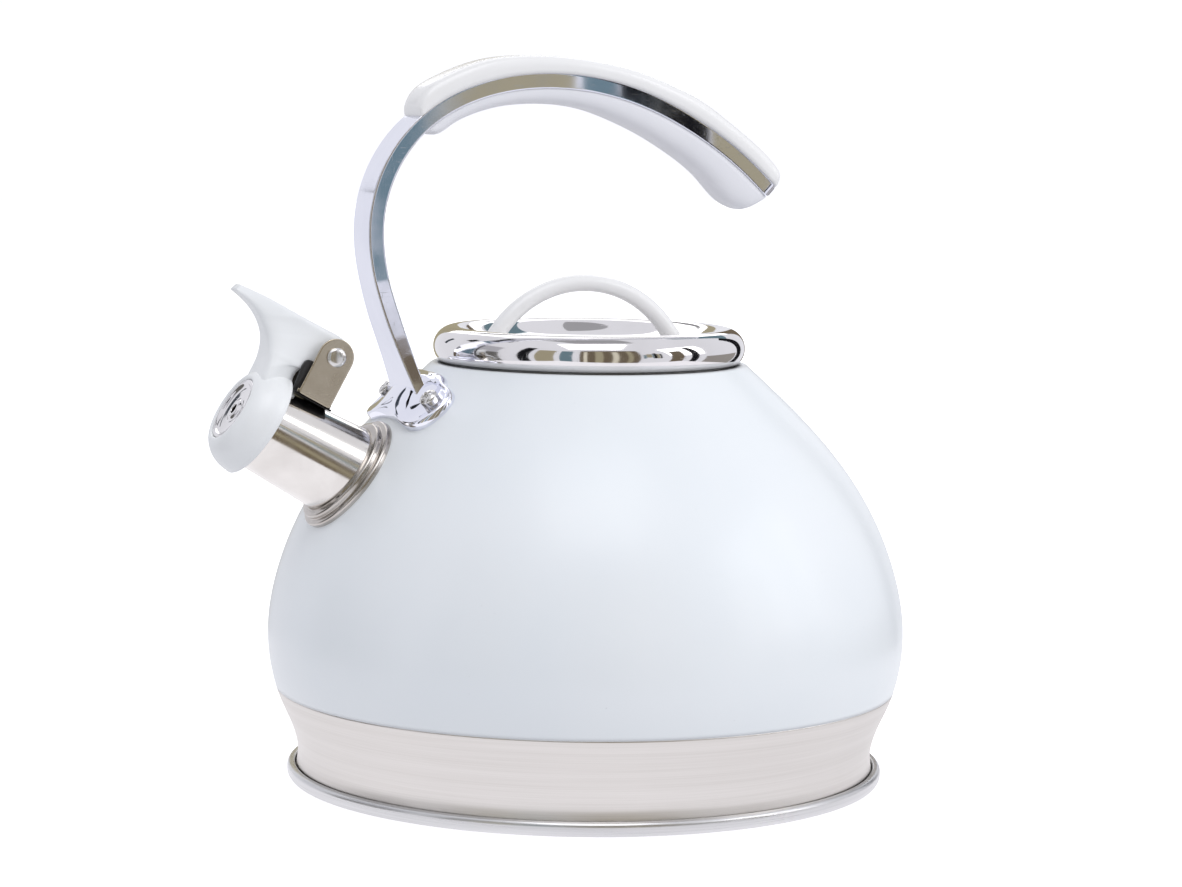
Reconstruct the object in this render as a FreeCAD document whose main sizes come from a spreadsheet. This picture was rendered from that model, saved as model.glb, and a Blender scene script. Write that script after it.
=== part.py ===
"""Stovetop whistling kettle, about three litres, as a parametric document.

Millimetres, +Z up. The kettle's axis is Z, the origin is the middle of the
underside, and the spout points to -X in the XZ plane. Every driving size is in
the spreadsheet; each sub-part is its own object with its own label.
"""
import FreeCAD, Part
import math
import os
import Sketcher

os.makedirs("parts", exist_ok=True)
doc = FreeCAD.newDocument("Kettle")
V = FreeCAD.Vector

# name, value in mm or degrees, what it is
SIZES = [
    # body
    ("base_radius", 103.0, "rolled rim at the foot"),
    ("base_rim_height", 7.6, "height of the rolled rim"),
    ("waist_radius", 99.4, "steel band just above the rim"),
    ("seam_radius", 107.1, "where enamel meets steel"),
    ("seam_height", 32.0, "height of that seam"),
    ("belly_radius", 109.8, "widest part"),
    ("belly_height", 50.0, "height of the widest part"),
    ("neck_radius", 51.2, "edge of the lid opening"),
    ("neck_height", 143.2, "top of the shell"),
    ("wall", 0.7, "body sheet"),
    ("neck_bore", 49.9, "clear radius of the opening"),
    ("neck_depth", 9.0, "length of the turned-down neck"),
    ("pan_sheet", 0.7, "sheet of the foot"),
    ("core_radius", 92.0, "aluminium heat spreader"),
    ("core_thick", 3.0, "its thickness"),
    # spout
    ("spout_x", -90.7, "where the spout axis leaves the body"),
    ("spout_z", 109.3, "height of that point"),
    ("spout_tilt", 28.8, "rise of the spout axis"),
    ("spout_root_radius", 16.0, "tube at the body"),
    ("spout_mouth_radius", 14.1, "tube at the mouth"),
    ("spout_wall", 0.8, "tube sheet"),
    ("spout_length", 33.6, "axis point to mouth"),
    ("spout_hole_radius", 13.0, "pouring hole in the shell"),
    ("collar_radius", 21.0, "outer bead of the collar"),
    ("collar_step_radius", 18.9, "inner bead of the collar"),
    ("collar_layer", 1.9, "height of one bead"),
    # hinge
    ("pin_s", 22.0, "pin along the spout axis"),
    ("pin_rise", 31.4, "pin above the spout axis"),
    ("pin_radius", 1.5, "hinge pin"),
    ("pin_head_radius", 3.4, "rivet head"),
    ("ear_radius", 6.6, "rounded top of an ear"),
    ("ear_gap", 16.6, "between the ears"),
    ("ear_thick", 1.2, "bracket sheet"),
    ("bracket_floor", 17.2, "bracket floor above the spout axis"),
    # cap
    ("cap_tilt", 32.6, "rise of the cap axis"),
    ("cap_x", -118.6, "middle of the cap rim"),
    ("cap_z", 125.0, "its height"),
    ("cap_radius", 18.3, "cap at the rim"),
    ("cap_depth", 11.2, "cap along its axis"),
    ("cap_wall", 1.5, "cap moulding"),
    ("disc_radius", 11.0, "whistle disc"),
    ("whistle_hole_radius", 1.6, "hole in the disc"),
    ("fin_half_width", 5.4, "thumb lever, half its width"),
    ("boss_radius", 7.2, "cap boss round the pin"),
    # handle
    ("frame_width", 16.0, "handle strip across"),
    ("frame_thick", 5.3, "handle strip deep"),
    ("foot_width", 29.0, "strip across at its foot"),
    ("grip_rise", 6.3, "top grip over the strip"),
    ("grip_width", 17.2, "top grip across"),
    ("saddle_half_width", 27.0, "saddle across, half"),
    ("saddle_low", 123.6, "lower edge of the saddle"),
    ("saddle_high", 140.2, "upper edge of the saddle"),
    ("saddle_thick", 3.2, "saddle casting"),
    ("screw_side", 20.0, "saddle screw off the middle plane"),
    ("screw_head_radius", 3.1, "pan head"),
    ("screw_shank_radius", 1.9, "shank"),
    # lid
    ("lid_bead_radius", 46.8, "middle circle of the rolled rim"),
    ("lid_bead_section", 6.5, "radius of the rolled rim"),
    ("lid_bead_height", 147.9, "height of its middle"),
    ("lid_floor", 146.4, "recessed lid plate"),
    ("lid_wall", 0.8, "lid sheet"),
    ("skirt_radius", 49.5, "lid skirt"),
    ("skirt_low", 133.0, "foot of the skirt"),
    ("bow_shift", -2.5, "middle of the bow along X"),
    ("bow_top", 170.5, "middle of the rod at its top"),
    ("bow_arc", 30.0, "radius of the bow's arc"),
    ("bow_angle", 37.0, "half angle of that arc"),
    ("bow_half_span", 31.0, "foot off the bow's middle"),
    ("bow_rod", 2.85, "rod radius"),
]

sheet = doc.addObject("Spreadsheet::Sheet", "sheet")
for row, (alias, value, note) in enumerate(SIZES, start=1):
    sheet.set("A%d" % row, alias)
    sheet.set("B%d" % row, str(value))
    sheet.set("C%d" % row, note)
    sheet.setAlias("B%d" % row, alias)
doc.recompute()


def size(alias):
    """A driving size, read from the sheet."""
    return float(sheet.get(alias))


# ---------------------------------------------------------------- helpers

def bind(obj, **links):
    """Bind properties of an object to the sheet's cells."""
    for prop, formula in links.items():
        obj.setExpression(prop, formula)
    return obj


def prim(kind, name, place=None, **links):
    """A Part primitive whose sizes are bound to the sheet."""
    obj = doc.addObject(kind, name)
    if place is not None:
        obj.Placement = place
    return bind(obj, **links)


def joined(kind, name, base, tool):
    """A Part::Cut or Part::Common of two objects."""
    obj = doc.addObject(kind, name)
    obj.Base = base
    obj.Tool = tool
    return obj


def fused(name, pieces):
    """One node made of several solids."""
    obj = doc.addObject("Part::MultiFuse", name)
    obj.Shapes = pieces
    return obj


def group(name, pieces):
    """Several separate solids that share one node."""
    obj = doc.addObject("Part::Compound", name)
    obj.Links = pieces
    return obj


def new_body(name):
    """An empty PartDesign body."""
    return doc.addObject("PartDesign::Body", name)


def new_sketch(body, name, role, offset=None):
    """A sketch on one of the body's own origin planes."""
    sketch = body.newObject("Sketcher::SketchObject", name)
    plane = [f for f in body.Origin.OriginFeatures if f.Role == role][0]
    sketch.AttachmentSupport = (plane, [""])
    sketch.MapMode = "FlatFace"
    if offset is not None:
        sketch.AttachmentOffset = offset
    return sketch


def spline(points, first=None, last=None):
    """A smooth curve through points (x, y), with optional end directions."""
    curve = Part.BSplineCurve()
    poles = [V(x, y, 0) for x, y in points]
    if first is None:
        curve.interpolate(Points=poles)
    else:
        curve.interpolate(Points=poles, InitialTangent=V(*first, 0), FinalTangent=V(*last, 0))
    return curve


def offset_points(points, distance, first=None, last=None, split=4):
    """Points along the curve moved sideways, to the left of travel.

    Each span between two stations is split, so that station k becomes point
    k * split of the result.
    """
    curve = spline(points, first, last)
    marks = [curve.parameter(V(x, y, 0)) for x, y in points]
    moved = []
    for here, there in zip(marks, marks[1:]):
        moved += [side_step(curve, here + (there - here) * k / split, distance)
                  for k in range(split)]
    return moved + [side_step(curve, marks[-1], distance)]


def side_step(curve, mark, distance):
    """A point beside the curve, square to it."""
    point = curve.value(mark)
    tangent = curve.tangent(mark)[0]
    return (point.x - tangent.y * distance, point.y + tangent.x * distance)


def outline(sketch, start, *steps):
    """A closed outline: points for lines, ("arc", mid, end), ("curve", points)."""
    here = start
    for step in steps + (start,):
        if step[0] == "arc":
            arc = Part.Arc(V(*here, 0), V(*step[1], 0), V(*step[2], 0))
            sketch.addGeometry(arc, False)
            here = step[2]
        elif step[0] == "curve":
            ends = step[2:] if len(step) > 2 else (None, None)
            sketch.addGeometry(spline([here] + step[1], *ends), False)
            here = step[1][-1]
        elif math.dist(here, step) > 1e-6:
            sketch.addGeometry(Part.LineSegment(V(*here, 0), V(*step, 0)), False)
            here = step


def circle(sketch, x, y, formula):
    """A circle held at its middle, whose radius is bound to the sheet."""
    index = sketch.addGeometry(Part.Circle(V(x, y, 0), V(0, 0, 1), 1.0), False)
    for kind, distance, axis in (("DistanceX", x, -2), ("DistanceY", y, -1)):
        if abs(distance) < 1e-9:
            sketch.addConstraint(Sketcher.Constraint("PointOnObject", index, 3, axis))
        else:
            sketch.addConstraint(Sketcher.Constraint(kind, -1, 1, index, 3, distance))
    sketch.addConstraint(Sketcher.Constraint("Radius", index, 1.0))
    sketch.setExpression("Constraints[%d]" % (sketch.ConstraintCount - 1), formula)
    return index


def revolve(body, name, sketch, axis="V_Axis"):
    """A full turn of a sketch about one of its own axes."""
    feature = body.newObject("PartDesign::Revolution", name)
    feature.Profile = sketch
    feature.ReferenceAxis = (sketch, [axis])
    feature.Angle = 360.0
    sketch.Visibility = False
    return feature


def pad(body, name, sketch, formula):
    """A pad to both sides of the sketch plane."""
    feature = body.newObject("PartDesign::Pad", name)
    feature.Profile = sketch
    feature.Midplane = True
    feature.setExpression("Length", formula)
    return feature


def pocket(body, name, sketch, formula, midplane=True, flip=False):
    """A pocket; to both sides of the sketch plane unless told otherwise."""
    feature = body.newObject("PartDesign::Pocket", name)
    feature.Profile = sketch
    feature.Midplane = midplane
    feature.Reversed = flip
    feature.setExpression("Length", formula)
    return feature


def rounded(body, name, base, formula, wanted):
    """A fillet on the edges of a feature that the test picks."""
    names = ["Edge%d" % (k + 1) for k, edge in enumerate(base.Shape.Edges) if wanted(edge)]
    feature = body.newObject("PartDesign::Fillet", name)
    feature.Base = (base, names)
    feature.setExpression("Radius", formula)
    return feature


def turned(degrees, axis=V(0, 1, 0)):
    """A rotation about an axis."""
    return FreeCAD.Rotation(axis, degrees)


# The spout frame: its Z runs out along the spout and its X points up from it.
SPOUT = FreeCAD.Placement(V(size("spout_x"), 0, size("spout_z")),
                          turned(size("spout_tilt") - 90.0))
CAP = FreeCAD.Placement(V(size("cap_x"), 0, size("cap_z")),
                        turned(size("cap_tilt") - 90.0))
PIN = SPOUT.multVec(V(size("pin_rise"), 0, size("pin_s")))


# ---------------------------------------------------------------- body wall

def shoulder_stations():
    """Outer surface of the enamelled shell, seam to neck, as (radius, height)."""
    seam = (size("seam_radius"), size("seam_height"))
    belly = (size("belly_radius"), size("belly_height"))
    return [seam, belly, (106.4, 72.0), (96.2, 96.0), (78.2, 120.0), (54.7, 142.7)]


def band_stations():
    """Outer surface of the steel band, foot to seam."""
    return [(size("waist_radius"), 8.6), (99.7, 12.0), (102.3, 20.0), (105.8, 28.0),
            (size("seam_radius"), size("seam_height"))]


SHOULDER_ENDS = ((1.3, 4.4), (-1.0, 0.92))
BAND_ENDS = ((0.2, 4.0), (1.3, 4.4))


def layer(name, inner, outer):
    """A skin of the shoulder between two offsets, as a solid of revolution."""
    stations = shoulder_stations()
    near = offset_points(stations, -inner, *SHOULDER_ENDS)
    far = offset_points(stations, -outer, *SHOULDER_ENDS)
    body = new_body(name)
    sketch = new_sketch(body, name + "_profile", "XZ_Plane")
    back = list(reversed(near))
    outline(sketch, far[0], ("curve", far[1:]) + SHOULDER_ENDS, back[0],
            ("curve", back[1:]) + tuple((-a, -b) for a, b in reversed(SHOULDER_ENDS)))
    revolve(body, name + "_turn", sketch)
    return body


def make_upper_shell():
    """Enamelled upper shell with its pouring hole and a turned-in neck edge."""
    wall = size("wall")
    outer = offset_points(shoulder_stations(), 0.0, *SHOULDER_ENDS)
    inner = list(reversed(offset_points(shoulder_stations(), wall, *SHOULDER_ENDS)))
    neck = size("neck_radius")
    top = size("neck_height")
    body = new_body("upper_shell")
    sketch = new_sketch(body, "upper_shell_profile", "XZ_Plane")
    outline(sketch, outer[0], ("curve", outer[1:]) + SHOULDER_ENDS,
            ("arc", (54.15, top - 0.14), (53.4, top)), (neck, top), (neck, top - wall),
            (53.2, top - wall), inner[0],
            ("curve", inner[1:]) + tuple((-a, -b) for a, b in reversed(SHOULDER_ENDS)))
    revolve(body, "upper_shell_turn", sketch)
    seat = FreeCAD.Placement(SPOUT)
    hole = new_sketch(body, "upper_shell_hole", "XY_Plane", seat)
    circle(hole, 0, 0, "sheet.spout_hole_radius")
    pocket(body, "upper_shell_pour", hole, "sheet.spout_hole_radius * 2.6")
    for side in (-1, 1):
        bore = new_sketch(body, "upper_shell_screw", "XY_Plane", screw_seat(side))
        circle(bore, 0, 0, "sheet.screw_shank_radius")
        pocket(body, "upper_shell_screw_hole", bore, "sheet.saddle_thick * 3")
    return body


def make_lower_shell():
    """Brushed steel band between the foot and the seam."""
    wall = size("wall")
    outer = offset_points(band_stations(), 0.0, *BAND_ENDS)
    inner = list(reversed(offset_points(band_stations(), wall, *BAND_ENDS)))
    body = new_body("lower_shell")
    sketch = new_sketch(body, "lower_shell_profile", "XZ_Plane")
    outline(sketch, outer[0], ("curve", outer[1:]) + BAND_ENDS, inner[0],
            ("curve", inner[1:]) + tuple((-a, -b) for a, b in reversed(BAND_ENDS)))
    revolve(body, "lower_shell_turn", sketch)
    return body


def make_base_pan():
    """Capsule of the foot: flat underside, hollow rolled rim, channel above."""
    rim = size("base_radius")
    high = size("base_rim_height")
    sheet_low = 0.9 + size("pan_sheet")
    inside = size("waist_radius") - 0.9
    body = new_body("base_pan")
    sketch = new_sketch(body, "base_pan_profile", "XZ_Plane")
    outline(sketch, (0, 0.9), (96.0, 0.9), (97.2, 0.0), (101.2, 0.0),
            ("arc", (102.7, 1.3), (rim, 3.6)), (rim, 4.4),
            ("arc", (102.2, 6.5), (100.4, high)), (99.7, high), (99.3, 8.6),
            (inside, 8.6), (inside, 7.5), (99.1, 6.9), (100.2, 6.9),
            ("arc", (101.65, 6.0), (rim - 0.7, 4.4)), (rim - 0.7, 3.6),
            ("arc", (102.1, 1.8), (101.0, 0.7)), (97.5, 0.7), (96.3, sheet_low), (0, sheet_low))
    revolve(body, "base_pan_turn", sketch)
    return body


def make_base_core():
    """Aluminium heat spreader sealed inside the foot."""
    place = FreeCAD.Placement(V(0, 0, 0.9 + size("pan_sheet")), turned(0))
    return prim("Part::Cylinder", "base_core", place, Radius="sheet.core_radius",
                Height="sheet.core_thick")


def make_pan_floor():
    """Steel floor of the water space, with an upstand against the band."""
    low = 0.9 + size("pan_sheet") + size("core_thick")
    high = low + 0.6
    body = new_body("pan_floor")
    sketch = new_sketch(body, "pan_floor_profile", "XZ_Plane")
    outline(sketch, (0, low), (93.2, low), ("arc", (96.9, low + 1.4), (98.35, low + 4.8)),
            (98.5, 12.0), (97.9, 12.0), (97.75, low + 4.9), ("arc", (96.4, low + 1.9), (93.0, high)),
            (0, high))
    revolve(body, "pan_floor_turn", sketch)
    return body


def make_neck_ring():
    """Turned-down neck that guides the lid skirt."""
    bore = size("neck_bore")
    top = size("neck_height") - size("wall")
    lip = size("neck_height")
    neck = size("neck_radius")
    foot = top - size("neck_depth")
    body = new_body("neck_ring")
    sketch = new_sketch(body, "neck_ring_profile", "XZ_Plane")
    outline(sketch, (bore, foot), (bore + 0.8, foot), (bore + 0.8, top - 1.6),
            ("arc", (bore + 1.0, top - 1.0), (bore + 1.6, top - 0.8)),
            (neck + 0.9, top - 0.8), (neck + 0.9, top), (neck, top), (neck, lip),
            (bore + 0.5, lip), ("arc", (bore + 0.15, lip - 0.15), (bore, lip - 0.5)))
    revolve(body, "neck_ring_turn", sketch)
    return body


# ---------------------------------------------------------------- spout

def tube_radius(along, skin=0.0):
    """Radius of the spout tube at a distance along its axis."""
    root = size("spout_root_radius")
    mouth = size("spout_mouth_radius")
    return root + (mouth - root) * along / size("spout_length") - skin


def make_spout_tube(core):
    """Tapered tube, trimmed to the shoulder and cut square to the cap."""
    wall = size("spout_wall")
    long = size("spout_length")
    lean = math.tan(math.radians(size("cap_tilt") - size("spout_tilt")))
    body = new_body("spout_cone")
    body.Placement = SPOUT
    sketch = new_sketch(body, "spout_cone_profile", "XZ_Plane")
    outline(sketch, (tube_radius(-14), -14), (tube_radius(long + 2), long + 2),
            (tube_radius(long + 2, wall), long + 2), (tube_radius(-14, wall), -14))
    revolve(body, "spout_cone_turn", sketch)
    trim = new_sketch(body, "spout_mouth_cut", "XZ_Plane")
    outline(trim, (-20, long + 20 * lean), (20, long - 20 * lean), (20, long + 9), (-20, long + 9))
    pocket(body, "spout_mouth", trim, "sheet.spout_root_radius * 3")
    return joined("Part::Cut", "spout_tube", body, core)


def make_spout_collar(core):
    """Two stepped beads that hug the shoulder round the tube's root."""
    beads = []
    for name, layers, radius in (("low", 1, "collar_radius"), ("high", 2, "collar_step_radius")):
        place = SPOUT.multiply(FreeCAD.Placement(V(0, 0, -22), turned(0)))
        disc = prim("Part::Cylinder", "collar_disc_" + name, place,
                    Radius="sheet." + radius, Height="sheet.spout_length")
        grown = make_core_solid("collar_core_" + name, layers * size("collar_layer"))
        beads.append(joined("Part::Common", "collar_bead_" + name, disc, grown))
    body = new_body("collar_bore")
    body.Placement = SPOUT
    sketch = new_sketch(body, "collar_bore_profile", "XZ_Plane")
    outline(sketch, (0, -24), (tube_radius(-24), -24), (tube_radius(18), 18), (0, 18))
    revolve(body, "collar_bore_turn", sketch)
    both = fused("collar_beads", beads)
    shaped = joined("Part::Cut", "collar_on_shoulder", both, core)
    return joined("Part::Cut", "spout_collar", shaped, body)


def make_hinge_bracket():
    """U of steel sheet: a floor on the tube and two round-topped ears."""
    rise = size("pin_rise")
    along = size("pin_s")
    ear = size("ear_radius")
    floor = size("bracket_floor")
    body = new_body("hinge_bracket")
    body.Placement = SPOUT
    sketch = new_sketch(body, "hinge_bracket_side", "XZ_Plane")
    outline(sketch, (floor, along - ear), (rise, along - ear),
            ("arc", (rise + ear, along), (rise, along + ear)), (floor, along + ear))
    pad(body, "hinge_bracket_blank", sketch, "sheet.ear_gap + 2 * sheet.ear_thick")
    gap = new_sketch(body, "hinge_bracket_gap", "XZ_Plane")
    outline(gap, (floor + 1.2, along - 12), (rise + 12, along - 12), (rise + 12, along + 12),
            (floor + 1.2, along + 12))
    pocket(body, "hinge_bracket_slot", gap, "sheet.ear_gap")
    bore = new_sketch(body, "hinge_bracket_bore", "XZ_Plane")
    circle(bore, rise, along, "sheet.pin_radius")
    pocket(body, "hinge_bracket_pin_hole", bore, "sheet.ear_gap + 4 * sheet.ear_thick")
    return body


def make_bracket_pad():
    """Curved foot that carries the bracket floor on the round tube."""
    along = size("pin_s")
    ear = size("ear_radius")
    floor = size("bracket_floor")
    block = new_body("pad_block")
    block.Placement = SPOUT
    sketch = new_sketch(block, "pad_block_side", "XZ_Plane")
    outline(sketch, (8.0, along - ear - 1.5), (floor, along - ear - 1.5),
            (floor, along + ear + 1.2), (8.0, along + ear + 1.2))
    pad(block, "pad_block_solid", sketch, "sheet.ear_gap + 2 * sheet.ear_thick")
    cone = new_body("pad_cutter")
    cone.Placement = SPOUT
    profile = new_sketch(cone, "pad_cutter_profile", "XZ_Plane")
    outline(profile, (0, 6), (tube_radius(6), 6), (tube_radius(38), 38), (0, 38))
    revolve(cone, "pad_cutter_turn", profile)
    return joined("Part::Cut", "bracket_pad", block, cone)


def make_hinge_pin():
    """Riveted pin with a low domed head on each side."""
    half = size("ear_gap") / 2 + size("ear_thick")
    pin = size("pin_radius")
    head = size("pin_head_radius")
    body = new_body("hinge_pin")
    body.Placement = FreeCAD.Placement(PIN, turned(0))
    sketch = new_sketch(body, "hinge_pin_profile", "XY_Plane")
    outline(sketch, (0, -half - 1.5), (0.8, -half - 1.5),
            ("arc", (2.4, -half - 1.05), (head, -half - 0.2)), (head, -half), (pin, -half),
            (pin, half), (head, half), (head, half + 0.2), ("arc", (2.4, half + 1.05), (0.8, half + 1.5)),
            (0, half + 1.5))
    revolve(body, "hinge_pin_turn", sketch)
    return body


def make_hinge_springs():
    """Two wire torsion springs, one between the boss and each ear."""
    coils = []
    wire = 0.42
    turn = 0.95
    for side in (-1, 1):
        helix = Part.makeHelix(turn, 2 * turn, 3.1)
        path = Part.Wire(helix.Edges)
        start = helix.Edges[0].valueAt(helix.Edges[0].FirstParameter)
        ring = Part.Wire(Part.makeCircle(wire, start, V(0, 1, 0.05)))
        coil = path.makePipeShell([ring], True, True)
        leg = Part.makeCylinder(wire, 9.5, start, V(0, 1, 0))
        solid = coil.fuse(leg)
        solid.rotate(V(0, 0, 0), V(1, 0, 0), -90)
        if side < 0:
            solid = solid.mirror(V(0, 0, 0), V(0, 1, 0))
        solid.translate(V(0, side * 5.95, 0))
        coils.append(solid)
    return coils


# ---------------------------------------------------------------- cap

def fin_points():
    """Side outline of the thumb lever in world X, Z, from the dome round to the boss."""
    nose = [(-120.9, 139.0), (-118.6, 144.0), (-117.2, 151.5), (-118.4, 158.4), (-121.2, 163.8),
            (-126.4, 169.0)]
    return nose


def make_cap_shell():
    """White cap: turned bell, thumb lever and the boss that the pin passes."""
    radius = size("cap_radius")
    depth = size("cap_depth")
    wall = size("cap_wall")
    disc = size("disc_radius")
    bell = new_body("cap_bell")
    bell.Placement = CAP
    sketch = new_sketch(bell, "cap_bell_profile", "XZ_Plane")
    outline(sketch, (radius, 0), (radius + 0.15, 2.4),
            ("arc", (16.6, 7.6), (12.8, depth - 0.2)),
            ("arc", (12.1, depth), (disc + 0.2, depth - 0.6)), (disc + 0.2, depth - 2.6),
            (9.4, depth - 2.6), (9.4, depth - 3.6),
            ("arc", (15.2, 6.0), (radius - wall, 1.6)), (radius - wall, 0))
    revolve(bell, "cap_bell_turn", sketch)

    fin = new_body("cap_fin")
    side = new_sketch(fin, "cap_fin_side", "XZ_Plane")
    boss = size("boss_radius")
    nose = fin_points()
    outline(side, (-113.0, 137.2), nose[0], ("curve", nose[1:]),
            ("arc", (-127.0, 170.6), (-125.6, 171.0)),
            ("curve", [(-117.0, 166.3), (-105.4, 160.0), (PIN.x + 2.2, PIN.z + boss - 0.4)]),
            ("arc", (PIN.x + boss * 0.94, PIN.z - boss * 0.34), (PIN.x - 2.6, PIN.z - boss + 0.5)),
            ("curve", [(-103.6, 145.6), (-107.2, 143.6), (-108.6, 139.8)]))
    pad(fin, "cap_fin_solid", side, "sheet.fin_half_width * 2")
    core = prim("Part::Cylinder", "cap_fin_core", CAP.multiply(
        FreeCAD.Placement(V(0, 0, -3), turned(0))), Height="sheet.cap_depth + 8")
    core.setExpression("Radius", "sheet.cap_radius - sheet.cap_wall * 0.7")
    web = joined("Part::Cut", "cap_web", fin, core)
    whole = fused("cap_blank", [bell, web])
    bore = prim("Part::Cylinder", "cap_pin_bore", FreeCAD.Placement(
        PIN + V(0, 20, 0), turned(90, V(1, 0, 0))), Radius="sheet.pin_radius + 0.06")
    bore.Height = 40
    return joined("Part::Cut", "cap_shell", whole, bore)


def make_whistle_disc():
    """Polished front disc of the whistle with its small hole."""
    disc = size("disc_radius")
    front = size("cap_depth") - 0.7
    hole = size("whistle_hole_radius")
    body = new_body("whistle_disc")
    body.Placement = CAP
    sketch = new_sketch(body, "whistle_disc_profile", "XZ_Plane")
    outline(sketch, (hole, front - 1.2), ("arc", (6.0, front - 0.6), (disc - 1.8, front - 0.1)),
            ("arc", (disc - 0.8, front + 0.35), (disc + 0.05, front - 0.2)),
            (disc + 0.05, front - 1.9), (disc - 1.2, front - 1.9),
            ("arc", (6.0, front - 1.4), (hole, front - 2.0)))
    revolve(body, "whistle_disc_turn", sketch)
    return body


def make_whistle_cup():
    """Rear plate of the whistle chamber: a shallow cup with its own hole."""
    depth = size("cap_depth")
    hole = size("whistle_hole_radius")
    body = new_body("whistle_cup")
    body.Placement = CAP
    sketch = new_sketch(body, "whistle_cup_profile", "XZ_Plane")
    outline(sketch, (hole, depth - 7.4), (7.6, depth - 7.4),
            ("arc", (8.3, depth - 7.1), (8.6, depth - 6.4)), (8.6, depth - 3.0),
            (9.35, depth - 3.0), (9.35, depth - 2.6), (7.9, depth - 2.6), (7.9, depth - 6.6),
            (hole, depth - 6.6))
    revolve(body, "whistle_cup_turn", sketch)
    return body


def make_cap_seal():
    """Silicone ring that closes on the mouth of the spout."""
    body = new_body("cap_seal")
    body.Placement = CAP
    sketch = new_sketch(body, "cap_seal_profile", "XZ_Plane")
    outline(sketch, (9.6, 2.2), (15.4, 2.2), (15.9, 3.4), (13.4, 5.6), (9.6, 5.6))
    revolve(body, "cap_seal_turn", sketch)
    return body


# ---------------------------------------------------------------- handle

def handle_line():
    """Middle line of the strip in X, Z: foot, stem, shoulder, crown, rear end."""
    return [(-64.6, 131.6), (-71.2, 150.0), (-78.9, 174.4), (-80.2, 193.8), (-73.7, 213.0),
            (-60.6, 227.2), (-42.2, 236.0), (-15.6, 239.3), (11.6, 235.0), (33.9, 225.4),
            (56.6, 209.9), (65.6, 201.6)]


LINE_ENDS = ((-6.4, 18.2), (18.0, -17.0))


def strip_between(body, name, first, last, low, high):
    """Side outline along the handle line between two stations and two offsets."""
    whole = handle_line()
    inner = offset_points(whole, low, *LINE_ENDS)
    outer = offset_points(whole, high, *LINE_ENDS)
    curve_in = spline(inner, *LINE_ENDS)
    curve_out = spline(outer, *LINE_ENDS)
    sketch = new_sketch(body, name, "XZ_Plane")
    for curve, points in ((curve_in, inner), (curve_out, outer)):
        curve.segment(curve.parameter(V(*points[first * 4], 0)),
                      curve.parameter(V(*points[last * 4], 0)))
        sketch.addGeometry(curve, False)
    for left, right in ((curve_in.StartPoint, curve_out.StartPoint),
                        (curve_in.EndPoint, curve_out.EndPoint)):
        sketch.addGeometry(Part.LineSegment(left, right), False)
    return sketch


def make_handle_frame():
    """Chromed strip: narrow over the grip, splayed at its foot."""
    half = size("frame_width") / 2
    foot = size("foot_width") / 2
    deep = size("frame_thick") / 2
    body = new_body("handle_frame")
    side = strip_between(body, "handle_frame_side", 0, 11, -deep, deep)
    pad(body, "handle_frame_blank", side, "sheet.foot_width + 6")
    for sign in (-1, 1):
        waste = new_sketch(body, "handle_frame_waste", "YZ_Plane")
        outline(waste, (sign * (foot + 3), 126.0),
                ("curve", [(sign * (foot - 1.4), 134.0), (sign * (half + 2.2), 146.0),
                           (sign * (half + 0.7), 162.0), (sign * half, 186.0)],
                 (-sign * 10, 9), (0, 20)),
                (sign * half, 250.0), (sign * 40, 250.0), (sign * 40, 126.0))
        pocket(body, "handle_frame_trim", waste, "sheet.base_radius * 3")
    return body


def make_grip_top():
    """Hard white grip on top of the strip, crowned across."""
    deep = size("frame_thick") / 2
    body = new_body("grip_top")
    side = strip_between(body, "grip_top_side", 5, 11, deep, deep + size("grip_rise"))
    blank = pad(body, "grip_top_blank", side, "sheet.grip_width")
    doc.recompute()
    half = size("grip_width") / 2
    crown = spline(offset_points(handle_line(), deep + size("grip_rise"), *LINE_ENDS))

    def on_crown(edge):
        middle = edge.valueAt((edge.FirstParameter + edge.LastParameter) / 2)
        spot = V(middle.x, middle.z, 0)
        near = crown.value(crown.parameter(spot)).distanceToPoint(spot) < 0.3
        return near and abs(abs(middle.y) - half) < 0.01

    rounded(body, "grip_top_crown", blank, "sheet.grip_rise * 0.75", on_crown)
    return body


def make_grip_under():
    """Softer underside of the grip, thicker towards its rear end."""
    deep = size("frame_thick") / 2
    body = new_body("grip_under")
    whole = handle_line()
    upper = offset_points(whole, -deep, *LINE_ENDS)
    curve = spline(upper, *LINE_ENDS)
    start = curve.parameter(V(*upper[5 * 4], 0))
    end = curve.parameter(V(*upper[11 * 4], 0))
    curve.segment(start, end)
    sketch = new_sketch(body, "grip_under_side", "XZ_Plane")
    sketch.addGeometry(curve, False)
    first = (curve.StartPoint.x, curve.StartPoint.y)
    last = (curve.EndPoint.x, curve.EndPoint.y)
    lower = [(-57.4, 221.0), (-46.3, 227.3), (-30.5, 231.0), (-14.4, 231.2), (7.3, 226.0),
             (29.6, 214.8), (44.5, 202.8), (54.7, 196.0), (65.2, 195.6)]
    sketch.addGeometry(spline([first] + lower + [last]), False)
    pad(body, "grip_under_blank", sketch, "sheet.frame_width - 0.8")
    return body


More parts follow.
